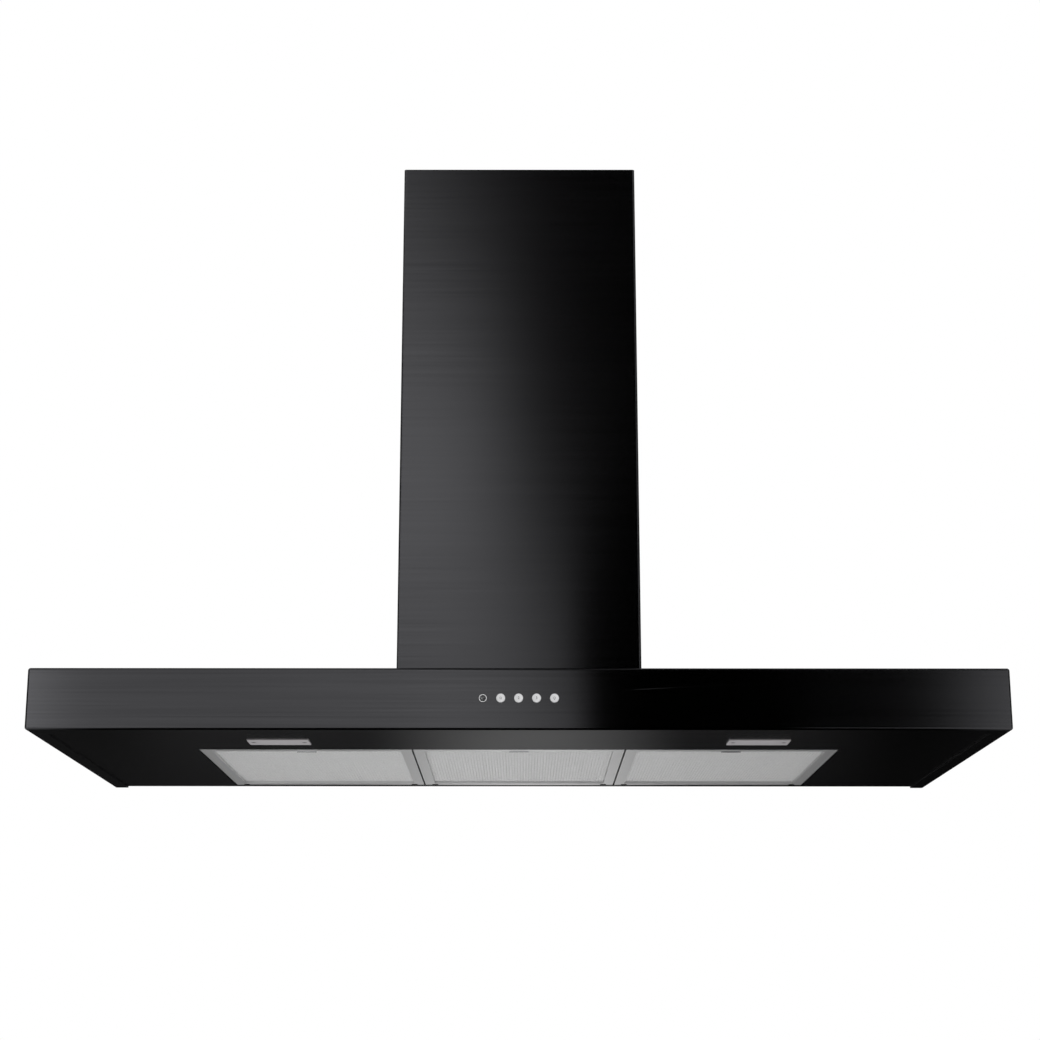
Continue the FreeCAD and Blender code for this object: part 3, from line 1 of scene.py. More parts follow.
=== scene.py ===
"""Looks of a wall-mounted chimney range hood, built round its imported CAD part.

Metres. The origin lies on the wall plane, under the middle of the canopy, level with its lower
rim: +X to the right seen from the front, +Y into the wall, +Z up.
"""
import logging
import math
from dataclasses import dataclass
from enum import Enum
from typing import Mapping, Sequence

import bmesh
import bpy
from mathutils import Matrix, Vector


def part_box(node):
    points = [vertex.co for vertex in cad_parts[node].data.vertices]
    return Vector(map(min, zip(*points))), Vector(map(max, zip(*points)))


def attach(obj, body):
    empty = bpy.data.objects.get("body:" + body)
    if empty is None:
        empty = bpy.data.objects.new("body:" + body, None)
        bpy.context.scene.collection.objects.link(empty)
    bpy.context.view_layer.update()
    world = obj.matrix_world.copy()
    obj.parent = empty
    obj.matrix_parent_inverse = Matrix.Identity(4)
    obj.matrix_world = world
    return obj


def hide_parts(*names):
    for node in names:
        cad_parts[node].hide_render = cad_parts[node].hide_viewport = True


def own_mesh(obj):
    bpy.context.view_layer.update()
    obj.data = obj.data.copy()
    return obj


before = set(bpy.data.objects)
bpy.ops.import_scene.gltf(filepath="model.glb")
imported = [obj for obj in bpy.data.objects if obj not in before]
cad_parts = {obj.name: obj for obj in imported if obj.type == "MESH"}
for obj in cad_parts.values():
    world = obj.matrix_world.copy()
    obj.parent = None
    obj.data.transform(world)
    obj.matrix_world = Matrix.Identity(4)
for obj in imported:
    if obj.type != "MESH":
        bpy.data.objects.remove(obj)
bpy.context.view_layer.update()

logging.basicConfig(level=logging.INFO, format="%(message)s")
log = logging.getLogger("hood")

Colour = tuple[float, float, float]
Point = tuple[float, float, float]
Outline = Sequence[tuple[float, float]]
Socket = bpy.types.NodeSocket
Input = Socket | float | Sequence[float]
MM = 0.001
SHARP_EDGE = math.radians(32)
CLOSE = 1e-6
RUBBED_WIDTH = 0.8 * MM
RUBBED_TURN, FLAT_TURN = 0.75, 0.98


class Bench:
    """Lays out shader nodes in one tree."""

    def __init__(self, tree: bpy.types.NodeTree) -> None:
        """Start with an empty tree."""
        self.tree = tree
        self.tree.nodes.clear()

    def add(self, kind: str, inputs: Mapping[str | int, Input] | None = None,
            **settings: object) -> bpy.types.Node:
        """Add a node.

        Args:
            kind: Type name of the node.
            inputs: What feeds each input, by its name or number.
            settings: Properties to set on it.

        Returns:
            The new node.
        """
        node = self.tree.nodes.new(kind)
        for key, value in settings.items():
            setattr(node, key, value)
        for key, value in (inputs or {}).items():
            self.feed(node.inputs[key], value)
        return node

    def feed(self, target: Socket, value: Input) -> None:
        """Link an output to an input, or set the input to a plain value.

        Args:
            target: The input.
            value: The output, number or colour.
        """
        if isinstance(value, Socket):
            self.tree.links.new(value, target)
        else:
            target.default_value = value

    def stretched(self, scale: Point | float = 1.0) -> Socket:
        """Give the piece's own coordinates, stretched.

        Args:
            scale: How many pattern units lie in a metre, along each axis or along all.

        Returns:
            The stretched coordinates.
        """
        stretch = scale if isinstance(scale, tuple) else (scale,) * 3
        place = self.add("ShaderNodeTexCoord").outputs["Object"]
        return self.add("ShaderNodeMapping", {"Vector": place, "Scale": stretch}).outputs["Vector"]

    def noise(self, scale: Point | float, detail: float = 3.0, rough: float = 0.5) -> Socket:
        """Give a cloudy value from 0 to 1.

        Args:
            scale: Pattern units in a metre, along each axis or along all.
            detail: Number of finer layers.
            rough: Strength of the finer layers.

        Returns:
            The value.
        """
        return self.add("ShaderNodeTexNoise", {
            "Vector": self.stretched(scale), "Scale": 1.0, "Detail": detail,
            "Roughness": rough}).outputs["Fac"]

    def cells(self, scale: float) -> Socket:
        """Give a colour for each of many irregular cells, so many to a metre."""
        return self.add("ShaderNodeTexVoronoi", {
            "Vector": self.stretched(scale), "Scale": 1.0}).outputs["Color"]

    def spread(self, value: Socket, low: float, high: float,
               start: float = 0.3, end: float = 0.7) -> Socket:
        """Map a value from start..end to low..high.

        Args:
            value: The value to map.
            low: Result at start.
            high: Result at end.
            start: Lower end of the value.
            end: Upper end of the value.

        Returns:
            The mapped value, kept between low and high.
        """
        return self.add("ShaderNodeMapRange", {
            "Value": value, "From Min": start, "From Max": end, "To Min": low,
            "To Max": high}).outputs["Result"]

    def blend(self, share: Socket, first: Colour | Socket, second: Colour) -> Socket:
        """Blend two colours.

        Args:
            share: How much of the second colour there is.
            first: Colour where share is 0.
            second: Colour where share is 1.

        Returns:
            The blended colour.
        """
        node = self.add("ShaderNodeMix", {"Factor": share}, data_type="RGBA")
        low, high = (socket for socket in node.inputs if socket.type == "RGBA")
        self.feed(low, first if isinstance(first, Socket) else (*first, 1.0))
        self.feed(high, (*second, 1.0))
        return next(socket for socket in node.outputs if socket.type == "RGBA")

    def combine(self, operation: str, first: Socket, second: Socket | float = 0.0) -> Socket:
        """Work out one value from one or two.

        Args:
            operation: Name of the arithmetic operation.
            first: First value.
            second: Second value, left out where there is but one.

        Returns:
            The result.
        """
        return self.add("ShaderNodeMath", {0: first, 1: second}, operation=operation).outputs[0]

    def edges(self) -> Socket:
        """Give 1 on outer and inner edges of the piece and 0 away from them.

        Returns:
            The value.
        """
        rounded = self.add("ShaderNodeBevel", {"Radius": RUBBED_WIDTH},
                           samples=4).outputs["Normal"]
        plain = self.add("ShaderNodeNewGeometry").outputs["Normal"]
        dot = self.add("ShaderNodeVectorMath", {0: rounded, 1: plain}, operation="DOT_PRODUCT")
        return self.spread(dot.outputs["Value"], 1.0, 0.0, RUBBED_TURN, FLAT_TURN)

    def upright(self) -> tuple[Socket, Socket]:
        """Tell level faces from upright ones.

        Returns:
            A value of 1 on level faces, and a direction that runs across a horizontal grain.
        """
        normal = self.add("ShaderNodeNewGeometry").outputs["Normal"]
        height = self.add("ShaderNodeSeparateXYZ", {"Vector": normal}).outputs["Z"]
        steepness = 4.0
        level = self.combine("POWER", self.combine("ABSOLUTE", height), steepness)
        across = self.add("ShaderNodeCombineXYZ", {
            "Y": level, "Z": self.spread(level, 1.0, 0.0, 0.0, 1.0)})
        return level, across.outputs["Vector"]


class SurfaceBench(Bench):
    """Lays out the shader nodes of one material."""

    def __init__(self, name: str) -> None:
        """Start a material with a surface shader joined to its output.

        Args:
            name: Name of the material.
        """
        self.material = bpy.data.materials.new(name)
        self.material.use_nodes = True
        super().__init__(self.material.node_tree)
        self.shader = self.add("ShaderNodeBsdfPrincipled")
        self.output = self.add("ShaderNodeOutputMaterial", {"Surface": self.shader.outputs[0]})

    def set(self, name: str, value: Input) -> None:
        """Feed one input of the surface shader."""
        self.feed(self.shader.inputs[name], value)

    def bump(self, height: Socket, depth: float, strength: float = 1.0) -> None:
        """Raise the surface by a pattern.

        Args:
            height: Pattern from 0 to 1.
            depth: Height of the pattern in metres.
            strength: How much of it shows.
        """
        node = self.add("ShaderNodeBump", {
            "Height": height, "Distance": depth, "Strength": strength})
        self.set("Normal", node.outputs["Normal"])


@dataclass(frozen=True)
class Finish:
    """A surface finish: what every kind has in common."""

    name: str
    colour: Colour
    metallic: float = 0.0
    roughness: float = 0.4
    wear: float = 0.3

    def material(self) -> bpy.types.Material:
        """Give the material of this finish, made on first use.

        Returns:
            The material.
        """
        made = bpy.data.materials.get(self.name)
        if made is None:
            bench = SurfaceBench(self.name)
            bench.set("Metallic", self.metallic)
            self.lay(bench)
            made = bench.material
        return made

    def shade(self, amount: float) -> Colour:
        """Give the finish's colour made lighter or darker by a factor."""
        return tuple(min(1.0, part * amount) for part in self.colour)

    def lay(self, bench: SurfaceBench) -> None:
        """Lay out the pattern of this finish."""
        raise NotImplementedError

    def paint(self, bench: SurfaceBench, pattern: Socket, dark: float, light: float) -> None:
        """Colour the surface by a pattern, with worn edges.

        Args:
            bench: Where the nodes go.
            pattern: Pattern from 0 to 1.
            dark: Factor on the colour where the pattern is low.
            light: Factor on the colour where the pattern is high.
        """
        share = bench.spread(pattern, 0.0, 1.0)
        plain = bench.blend(share, self.shade(dark), self.shade(light))
        rubbed = bench.combine("MULTIPLY", bench.edges(), self.wear)
        worn = bench.combine("MULTIPLY", rubbed, bench.noise(90))
        bare = tuple(min(1.0, 0.5 * part + 0.25) for part in self.colour)
        bench.set("Base Color", bench.blend(worn, plain, bare))

    def roughen(self, bench: SurfaceBench, pattern: Socket, less: float, more: float,
                cloud: Socket | None = None) -> None:
        """Vary the roughness by a pattern.

        Args:
            bench: Where the nodes go.
            pattern: Pattern from 0 to 1.
            less: How far the roughness falls where the pattern is low.
            more: How far it rises where the pattern is high.
            cloud: A further change that is added.
        """
        rough = bench.spread(pattern, self.roughness - less, self.roughness + more)
        bench.set("Roughness", bench.combine("ADD", rough, cloud) if cloud else rough)


@dataclass(frozen=True)
class BrushedSheet(Finish):
    """Sheet steel with a fine grain that runs level round the piece."""

    anisotropy: float = 0.94
    edge_tint: float = 0.4
    grain_along: float = 3.2
    grain_across: float = 850.0
    grain_gloss: float = 0.015
    cloud_gloss: float = 0.008
    relief: float = 0.002 * MM

    def lay(self, bench: SurfaceBench) -> None:
        """Lay out a long, fine grain in colour, roughness and height.

        Args:
            bench: Where the nodes go.
        """
        level, across = bench.upright()
        along, fine = self.grain_along, self.grain_across
        streaks = bench.add("ShaderNodeMix", {
            0: level, 2: bench.noise((along, along, fine), 3.0, 0.6),
            3: bench.noise((along, fine, along), 3.0, 0.6)}, data_type="FLOAT").outputs[0]
        self.paint(bench, streaks, 0.84, 1.17)
        cloud = bench.spread(bench.noise(3, 2.0), -self.cloud_gloss, self.cloud_gloss)
        self.roughen(bench, streaks, self.grain_gloss, self.grain_gloss, cloud)
        bench.bump(streaks, self.relief, 0.3)
        bench.set("Anisotropic", self.anisotropy)
        bench.set("Specular Tint", (*(self.edge_tint,) * 3, 1.0))
        bench.set("Tangent", across)


@dataclass(frozen=True)
class BakedPaint(Finish):
    """Coat baked on sheet metal, with a faint orange peel."""

    peel: float = 420.0
    relief: float = 0.04 * MM

    def lay(self, bench: SurfaceBench) -> None:
        """Lay out the peel and a cloudy gloss.

        Args:
            bench: Where the nodes go.
        """
        self.paint(bench, bench.noise(14, 4.0), 0.88, 1.1)
        self.roughen(bench, bench.noise(30), 0.06, 0.08)
        bench.bump(bench.noise(self.peel, 2.0), self.relief, 0.5)


@dataclass(frozen=True)
class ZincCoat(Finish):
    """Hot-dipped zinc with its flat crystals."""

    crystals: float = 70.0
    gloss_change: float = 0.07
    relief: float = 0.02 * MM

    def lay(self, bench: SurfaceBench) -> None:
        """Lay out crystals that differ in tone and gloss.

        Args:
            bench: Where the nodes go.
        """
        tone = bench.add("ShaderNodeSeparateColor", {"Color": bench.cells(self.crystals)}).outputs
        self.paint(bench, tone["Red"], 0.92, 1.07)
        bench.set("Roughness", bench.spread(tone["Green"], self.roughness - self.gloss_change,
                                            self.roughness + self.gloss_change, 0.0, 1.0))
        bench.bump(bench.noise(260, 4.0), self.relief, 0.4)


@dataclass(frozen=True)
class SatinMetal(Finish):
    """Rolled or drawn metal with a satin skin."""

    fineness: Point | float = (40.0, 900.0, 900.0)
    skin_gloss: float = 0.04
    relief: float = 0.015 * MM

    def lay(self, bench: SurfaceBench) -> None:
        """Lay out short drawn lines over a cloudy skin.

        Args:
            bench: Where the nodes go.
        """
        lines = bench.noise(self.fineness, 4.0, 0.6)
        self.paint(bench, lines, 0.9, 1.08)
        skin = bench.spread(bench.noise(45, 4.0), -self.skin_gloss, self.skin_gloss)
        self.roughen(bench, lines, 0.05, 0.06, skin)
        bench.bump(lines, self.relief, 0.4)


@dataclass(frozen=True)
class Moulding(Finish):
    """Moulded plastic or rubber with a fine eroded grain."""

    grain: float = 1500.0
    relief: float = 0.03 * MM

    def lay(self, bench: SurfaceBench) -> None:
        """Lay out the fine grain of the mould.

        Args:
            bench: Where the nodes go.
        """
        grain = bench.noise(self.grain, 2.0)
        self.paint(bench, bench.noise(35, 4.0), 0.9, 1.1)
        self.roughen(bench, grain, 0.07, 0.07)
        bench.bump(grain, self.relief, 0.5)


@dataclass(frozen=True)
class FrostedCover(Finish):
    """Pale cover that is frosted to spread the light."""

    passing: float = 0.25
    grain: float = 2200.0
    relief: float = 0.02 * MM

    def lay(self, bench: SurfaceBench) -> None:
        """Lay out an even frost that lets some light pass.

        Args:
            bench: Where the nodes go.
        """
        frost = bench.noise(self.grain, 2.0)
        self.paint(bench, bench.noise(60), 0.95, 1.03)
        self.roughen(bench, frost, 0.06, 0.06)
        bench.set("Transmission Weight", self.passing)
        bench.bump(frost, self.relief, 0.5)


@dataclass(frozen=True)
class ClearCover(Finish):
    """Clear cast plastic with faint flow marks."""

    bending: float = 1.49
    relief: float = 0.02 * MM

    def lay(self, bench: SurfaceBench) -> None:
        """Lay out a clear body with slight waves.

        Args:
            bench: Where the nodes go.
        """
        flow = bench.noise(300, 2.0)
        share = bench.spread(flow, 0.0, 1.0)
        bench.set("Base Color", bench.blend(share, self.shade(0.97), self.shade(1.02)))
        self.roughen(bench, flow, 0.0, 0.05)
        bench.set("Transmission Weight", 1.0)
        bench.set("IOR", self.bending)
        bench.bump(flow, self.relief, 0.3)


@dataclass(frozen=True)
class PrintedBoard(Finish):
    """Circuit board with tracks under its solder mask."""

    fineness: float = 180.0
    gap: float = 0.09
    tones: Colour = (0.0, 0.15, 1.0)
    relief: float = 0.05 * MM

    def lay(self, bench: SurfaceBench) -> None:
        """Lay out square-cornered tracks that stand slightly proud.

        Args:
            bench: Where the nodes go.
        """
        first, second, between = ((tone, tone, tone, 1.0) for tone in self.tones)
        tracks = bench.add("ShaderNodeTexBrick", {
            "Vector": bench.stretched(self.fineness), "Scale": 1.0, "Mortar Size": self.gap,
            "Color1": first, "Color2": second, "Mortar": between},
            offset=0.35, squash=0.6).outputs["Color"]
        self.paint(bench, tracks, 0.75, 1.9)
        self.roughen(bench, bench.noise(200), 0.06, 0.06)
        bench.bump(tracks, self.relief, 0.5)


BLACK_STEEL = BrushedSheet("black_brushed_steel", (0.052, 0.052, 0.055), 1.0, 0.19, 0.15)
BLACK_PAINT = BakedPaint("black_baked_paint", (0.024, 0.024, 0.026), 0.0, 0.42)
GALVANISED = ZincCoat("galvanised_sheet", (0.5, 0.51, 0.52), 1.0, 0.4)
FRAME_ALUMINIUM = SatinMetal("frame_aluminium", (0.88, 0.88, 0.89), 0.2, 0.4)
WIRE_ALUMINIUM = SatinMetal("expanded_aluminium", (0.78, 0.78, 0.78), 0.45, 0.5, 0.3, 500.0)
INNER_ALUMINIUM = SatinMetal("inner_mesh_aluminium", (0.74, 0.74, 0.74), 0.45, 0.55, 0.3, 420.0)
SPRING_STEEL = SatinMetal("spring_steel", (0.5, 0.5, 0.5), 1.0, 0.28)
ZINC_PLATE = SatinMetal("zinc_plated_steel", (0.58, 0.58, 0.6), 1.0, 0.26)
DARK_SCREW = SatinMetal("darkened_screw_steel", (0.13, 0.13, 0.135), 1.0, 0.34)
BRIGHT_RING = SatinMetal("polished_bezel", (0.8, 0.8, 0.81), 0.6, 0.3)
MOTOR_PAINT = BakedPaint("motor_enamel", (0.3, 0.31, 0.32), 0.0, 0.45)
FROSTED = FrostedCover("frosted_lamp_cover", (0.37, 0.356, 0.367), 0.0, 0.5)
BUTTON_SILVER = SatinMetal("button_silver", (0.78, 0.78, 0.79), 0.35, 0.34, 0.2, 700.0)
MARK_GREY = Moulding("button_mark", (0.12, 0.12, 0.13), 0.0, 0.5)
CLEAR = ClearCover("clear_indicator_dome", (0.9, 0.9, 0.92), 0.0, 0.03)
BOARD_GREEN = PrintedBoard("green_board", (0.03, 0.13, 0.06), 0.0, 0.35)
BOARD_WHITE = PrintedBoard("white_lamp_board", (0.62, 0.62, 0.6), 0.0, 0.4)
BLACK_PLASTIC = Moulding("black_plastic", (0.028, 0.028, 0.029), 0.0, 0.5)
FLAP_PLASTIC = Moulding("flap_plastic", (0.11, 0.11, 0.11), 0.0, 0.55)
LEAD_RUBBER = Moulding("lead_sheath", (0.04, 0.04, 0.04), 0.0, 0.6, 0.3, 700.0, 0.06 * MM)
CASE_WHITE = Moulding("capacitor_case", (0.72, 0.72, 0.69), 0.0, 0.45)


def corners_in(parts: Sequence[object]) -> list[bmesh.types.BMVert]:
    """Pick the corners out of what an operator hands back."""
    return [part for part in parts if isinstance(part, bmesh.types.BMVert)]


def dress(finish: Finish, *nodes: str) -> None:
    """Give CAD nodes a finish.

    Args:
        finish: The finish.
        nodes: Names of the nodes.
    """
    for node in nodes:
        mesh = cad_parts[node].data
        mesh.materials.clear()
        mesh.materials.append(finish.material())
        log.info("dressed %s in %s", node, finish.name)


def keep(name: str, shape: bmesh.types.BMesh, finish: Finish, body: str,
         stands_for: Sequence[str] = ()) -> bpy.types.Object:
    """Make a finished piece of a modelled shape and let it ride on its body.

    Args:
        name: Name of the piece.
        shape: The shape, used up by this.
        finish: Its finish.
        body: Name of the body that it moves with.
        stands_for: CAD nodes that it is shown in place of.

    Returns:
        The piece.
    """
    mesh = bpy.data.meshes.new(name)
    shape.to_mesh(mesh)
    shape.free()
    mesh.materials.append(finish.material())
    mesh.shade_smooth()
    mesh.set_sharp_from_angle(angle=SHARP_EDGE)
    piece = bpy.data.objects.new(name, mesh)
    bpy.context.scene.collection.objects.link(piece)
    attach(piece, body)
    if stands_for:
        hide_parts(*stands_for)
    log.info("made %s: %d faces, on %s", name, len(mesh.polygons), body)
    return piece


def turn(shape: bmesh.types.BMesh, outline: Outline, centre: Point, steps: int = 64) -> None:
    """Turn an outline once round an axis that points out of the canopy's front.

    Args:
        shape: Where the turned form goes.
        outline: Radius and depth of each corner, in metres.
        centre: Point on the axis at depth 0.
        steps: Number of steps in the turn.
    """
    corners = [shape.verts.new(Vector(centre) + Vector((radius, depth, 0.0)))
               for radius, depth in outline]
    line = [shape.edges.new(pair) for pair in zip(corners, corners[1:])]
    bmesh.ops.spin(shape, geom=corners + line, cent=centre, axis=(0, 1, 0), angle=math.tau,
                   steps=steps, use_merge=True)
    bmesh.ops.remove_doubles(shape, verts=shape.verts[:], dist=0.1 * CLOSE)
    bmesh.ops.recalc_face_normals(shape, faces=shape.faces[:])


@dataclass(frozen=True)
class CrossHeadScrew:
    """Pan-head screw with a cross recess."""

    head_radius: float = 2.9 * MM
    head_height: float = 1.1 * MM
    crown: float = 0.3 * MM
    recess_half: float = 0.42 * MM
    recess_reach: float = 1.7 * MM
    recess_depth: float = 0.75 * MM
    recess_taper: float = 0.7
    shank_radius: float = 1.45 * MM
    tip_length: float = 0.5 * MM
    tip_taper: float = 0.6

    def add_to(self, shape: bmesh.types.BMesh, seat: Vector, length: float, up: bool,
               spin: float) -> None:
        """Add a screw to a shape.

        Args:
            shape: Where it goes.
            seat: Middle of the face that its head rests on.
            length: Length of its shank.
            up: Whether the head stands above its seat.
            spin: How far the screw is turned in.
        """
        screw = bmesh.new()
        # Corners of this grid lie at 0.2, 0.6 and 1.0 of its half width.
        bmesh.ops.create_grid(screw, x_segments=5, y_segments=5, size=1.0)
        rings = {0.2: self.recess_half, 0.6: self.recess_reach, 1.0: self.head_radius}
        for corner in screw.verts:
            reach = max(abs(corner.co.x), abs(corner.co.y))
            step = min(rings, key=lambda ring: abs(ring - reach))
            if step == 1.0:
                corner.co = corner.co.normalized() * self.head_radius
            else:
                corner.co = Vector([math.copysign(
                    rings[min(rings, key=lambda ring: abs(ring - abs(part)))], part)
                    for part in corner.co.xy] + [0.0])
            share = corner.co.length / self.head_radius
            corner.co.z = self.head_height - self.crown * share ** 2
        reach, half = self.recess_reach + CLOSE, self.recess_half + CLOSE
        cross = [face for face in screw.faces
                 if all(max(abs(v.co.x), abs(v.co.y)) < reach for v in face.verts)
                 and (all(abs(v.co.x) < half for v in face.verts)
                      or all(abs(v.co.y) < half for v in face.verts))]
        floor = corners_in(bmesh.ops.extrude_face_region(screw, geom=cross)["geom"])
        bmesh.ops.delete(screw, geom=cross, context="FACES_ONLY")
        for corner in floor:
            flat = corner.co.xy * self.recess_taper
            corner.co = Vector((flat.x, flat.y, corner.co.z - self.recess_depth))
        rim = [edge for edge in screw.edges if edge.is_boundary]
        for radius, height in ((self.head_radius, 0.0), (self.shank_radius, 0.0),
                               (self.shank_radius, self.tip_length - length),
                               (self.tip_taper * self.shank_radius, -length)):
            grown = bmesh.ops.extrude_edge_only(screw, edges=rim)["geom"]
            rim = [item for item in grown if isinstance(item, bmesh.types.BMEdge)]
            for corner in {end for edge in rim for end in edge.verts}:
                flat = corner.co.xy.normalized() * radius
                corner.co = Vector((flat.x, flat.y, height))
        bmesh.ops.contextual_create(screw, geom=rim)
        bmesh.ops.recalc_face_normals(screw, faces=screw.faces[:])
        place = Matrix.Translation(seat) @ Matrix.Rotation(0.0 if up else math.pi, 4, "X")
        bmesh.ops.transform(screw, matrix=place @ Matrix.Rotation(spin, 4, "Z"),
                            verts=screw.verts[:])
        made = bpy.data.meshes.new("screw")
        screw.to_mesh(made)
        screw.free()
        shape.from_mesh(made)
        bpy.data.meshes.remove(made)


@dataclass
class ScrewSet:
    """A node of several screws that all fill its height."""

    node: str
    columns: tuple[float, ...]
    rows: tuple[float, ...]
    up: bool
    finish: Finish = ZINC_PLATE
    screw: CrossHeadScrew = CrossHeadScrew()
    first_turn: float = 0.35
    next_turn: float = 1.1

    def build(self) -> None:
        """Make the screws in place of their node."""
        low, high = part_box(self.node)
        head = self.screw.head_height
        seat = high.z - head if self.up else low.z + head
        shape = bmesh.new()
        for number, (x, y) in enumerate((x, y) for x in self.columns for y in self.rows):
            self.screw.add_to(shape, Vector((x, y, seat)), high.z - low.z - head, self.up,
                              self.first_turn + self.next_turn * number)
        keep(self.node.replace("screws", "cross_screws"), shape, self.finish, "hood",
             [self.node])


@dataclass
class Canopy:
    """Folded canopy, its back plate and the panel that closes it from below."""

    sheets: tuple[str, ...] = ("canopy_shell", "underside_panel", "filter_dividers")

    def build(self) -> None:
        """Dress the canopy's sheets."""
        dress(BLACK_STEEL, *self.sheets)
        dress(BLACK_PAINT, "canopy_back")


class Side(Enum):
    """The three grease filters, from the left."""

    LEFT = "left"
    MIDDLE = "middle"
    RIGHT = "right"


@dataclass(frozen=True)
class ExpandedSheet:
    """Sheet of expanded aluminium: zigzag strands joined at their bends."""

    pitch: float = 3.6 * MM
    row: float = 2.0 * MM
    strand: float = 0.62 * MM
    thickness: float = 0.4 * MM
    lift: float = 0.1 * MM
    overlap: float = 0.25

    def add_to(self, shape: bmesh.types.BMesh, low: Vector, high: Vector, height: float) -> None:
        """Fill a rectangle with strands.

        Args:
            shape: Where the strands go.
            low: Lowest corner of the rectangle.
            high: Highest corner of the rectangle.
            height: Middle of the sheet.
        """
        steps = 2 * round((high.x - low.x) / self.pitch)
        rows = round((high.y - low.y) / self.row)
        middle = (low.x + high.x) / 2
        half = (high.x - low.x) / 2
        depth = (high.y - low.y) / rows
        swing = (depth - self.strand) / 2 + self.overlap * self.strand
        strip = bmesh.ops.create_grid(
            shape, x_segments=steps, y_segments=1, size=1.0,
            matrix=Matrix.Diagonal((half, self.strand / 2, 1.0, 1.0)))["verts"]
        for corner in strip:
            number = round((corner.co.x / half + 1) * steps / 2)
            corner.co.y += swing if number % 2 else -swing
        faces = list({face for corner in strip for face in corner.link_faces})
        for number in range(rows):
            copy = bmesh.ops.duplicate(shape, geom=faces)["geom"]
            corners = corners_in(copy)
            flip = -1.0 if number % 2 else 1.0
            bmesh.ops.scale(shape, vec=(1.0, flip, 1.0), verts=corners)
            lift = height + flip * self.lift / 2
            bmesh.ops.translate(shape, vec=(middle, low.y + (number + 0.5) * depth, lift),
                                verts=corners)
            if flip < 0:
                bmesh.ops.reverse_faces(shape, faces=[item for item in copy
                                                      if isinstance(item, bmesh.types.BMFace)])
        bmesh.ops.delete(shape, geom=strip, context="VERTS")


@dataclass
class GreaseFilter:
    """One filter: frame, two sheets of expanded aluminium with a core between, latch, spring."""

    side: Side
    sheet: ExpandedSheet = ExpandedSheet()
    upper_sheet: ExpandedSheet = ExpandedSheet(7.2 * MM, 4.0 * MM, 1.1 * MM)
    core_gap: float = 0.45 * MM
    core_inset: float = 0.4 * MM
    core_slack: float = 0.4 * MM
    core_wave: float = 0.3 * MM
    core_ripples: tuple[float, float] = (1.1, 1.0)
    leaf: float = 0.4 * MM
    latch_travel: float = 3.0 * MM

    def build(self) -> None:
        """Dress the frame and latch, and make the sheets, the core and the spring."""
        name = self.side.value
        dress(FRAME_ALUMINIUM, f"filter_frame_{name}")
        dress(ZINC_PLATE, f"filter_latch_{name}")
        self.make_spring()
        low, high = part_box(f"filter_mesh_{name}")
        half = self.sheet.thickness / 2 + self.sheet.lift
        for place, sheet, height in (("lower", self.sheet, low.z + half),
                                     ("upper", self.upper_sheet, high.z - half)):
            shape = bmesh.new()
            sheet.add_to(shape, low, high, height)
            stands_for = [f"filter_mesh_{name}"] if place == "lower" else []
            piece = keep(f"expanded_{place}_{name}", shape, WIRE_ALUMINIUM,
                         f"filter_{name}", stands_for)
            wall = piece.modifiers.new("Wall", "SOLIDIFY")
            wall.thickness = sheet.thickness
            wall.offset = 0.0
        self.make_core()

    def make_spring(self) -> None:
        """Make the bowed leaf that the latch flattens against the frame's peg."""
        name = self.side.value
        low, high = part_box(f"latch_spring_{name}")
        middle, half = (low + high) / 2, (high - low) / 2
        shape = bmesh.new()
        bmesh.ops.create_grid(
            shape, x_segments=24, y_segments=1, size=1.0,
            matrix=Matrix.Translation((middle.x, low.y, middle.z))
            @ Matrix.Rotation(math.pi / 2, 4, "X") @ Matrix.Diagonal((half.x, half.z, 1.0, 1.0)))
        for corner in shape.verts:
            share = 1.0 - abs(corner.co.x - middle.x) / half.x
            corner.co.y += (2 * half.y - self.leaf) * (1.0 - math.cos(math.pi * share)) / 2
        grown = bmesh.ops.extrude_face_region(shape, geom=shape.faces[:])["geom"]
        bmesh.ops.translate(shape, vec=(0.0, self.leaf, 0.0), verts=corners_in(grown))
        bmesh.ops.recalc_face_normals(shape, faces=shape.faces[:])
        piece = keep(f"latch_leaf_{name}", shape, SPRING_STEEL, f"filter_{name}",
                     [f"latch_spring_{name}"])
        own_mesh(piece)

    def make_core(self) -> None:
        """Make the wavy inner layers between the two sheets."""
        low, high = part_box(f"filter_mesh_{self.side.value}")
        size = high - low - 2 * Vector((self.core_inset, self.core_inset,
                                        self.sheet.thickness + self.core_gap))
        shape = bmesh.new()
        bmesh.ops.create_grid(
            shape, x_segments=120, y_segments=150, size=0.5,
            matrix=Matrix.Translation((low + high) / 2)
            @ Matrix.Diagonal((size.x, size.y, 1.0, 1.0)))
        bmesh.ops.translate(shape, vec=(0.0, 0.0, -size.z / 2), verts=shape.verts[:])
        along, deep = self.core_ripples
        for corner in shape.verts:
            wave = math.sin(corner.co.x / MM * along) * math.sin(corner.co.y / MM * deep)
            corner.co.z += self.core_wave * wave
        piece = keep(f"mesh_core_{self.side.value}", shape, INNER_ALUMINIUM,
                     f"filter_{self.side.value}")
        wall = piece.modifiers.new("Wall", "SOLIDIFY")
        wall.thickness = size.z - self.core_slack
        wall.offset = 1.0


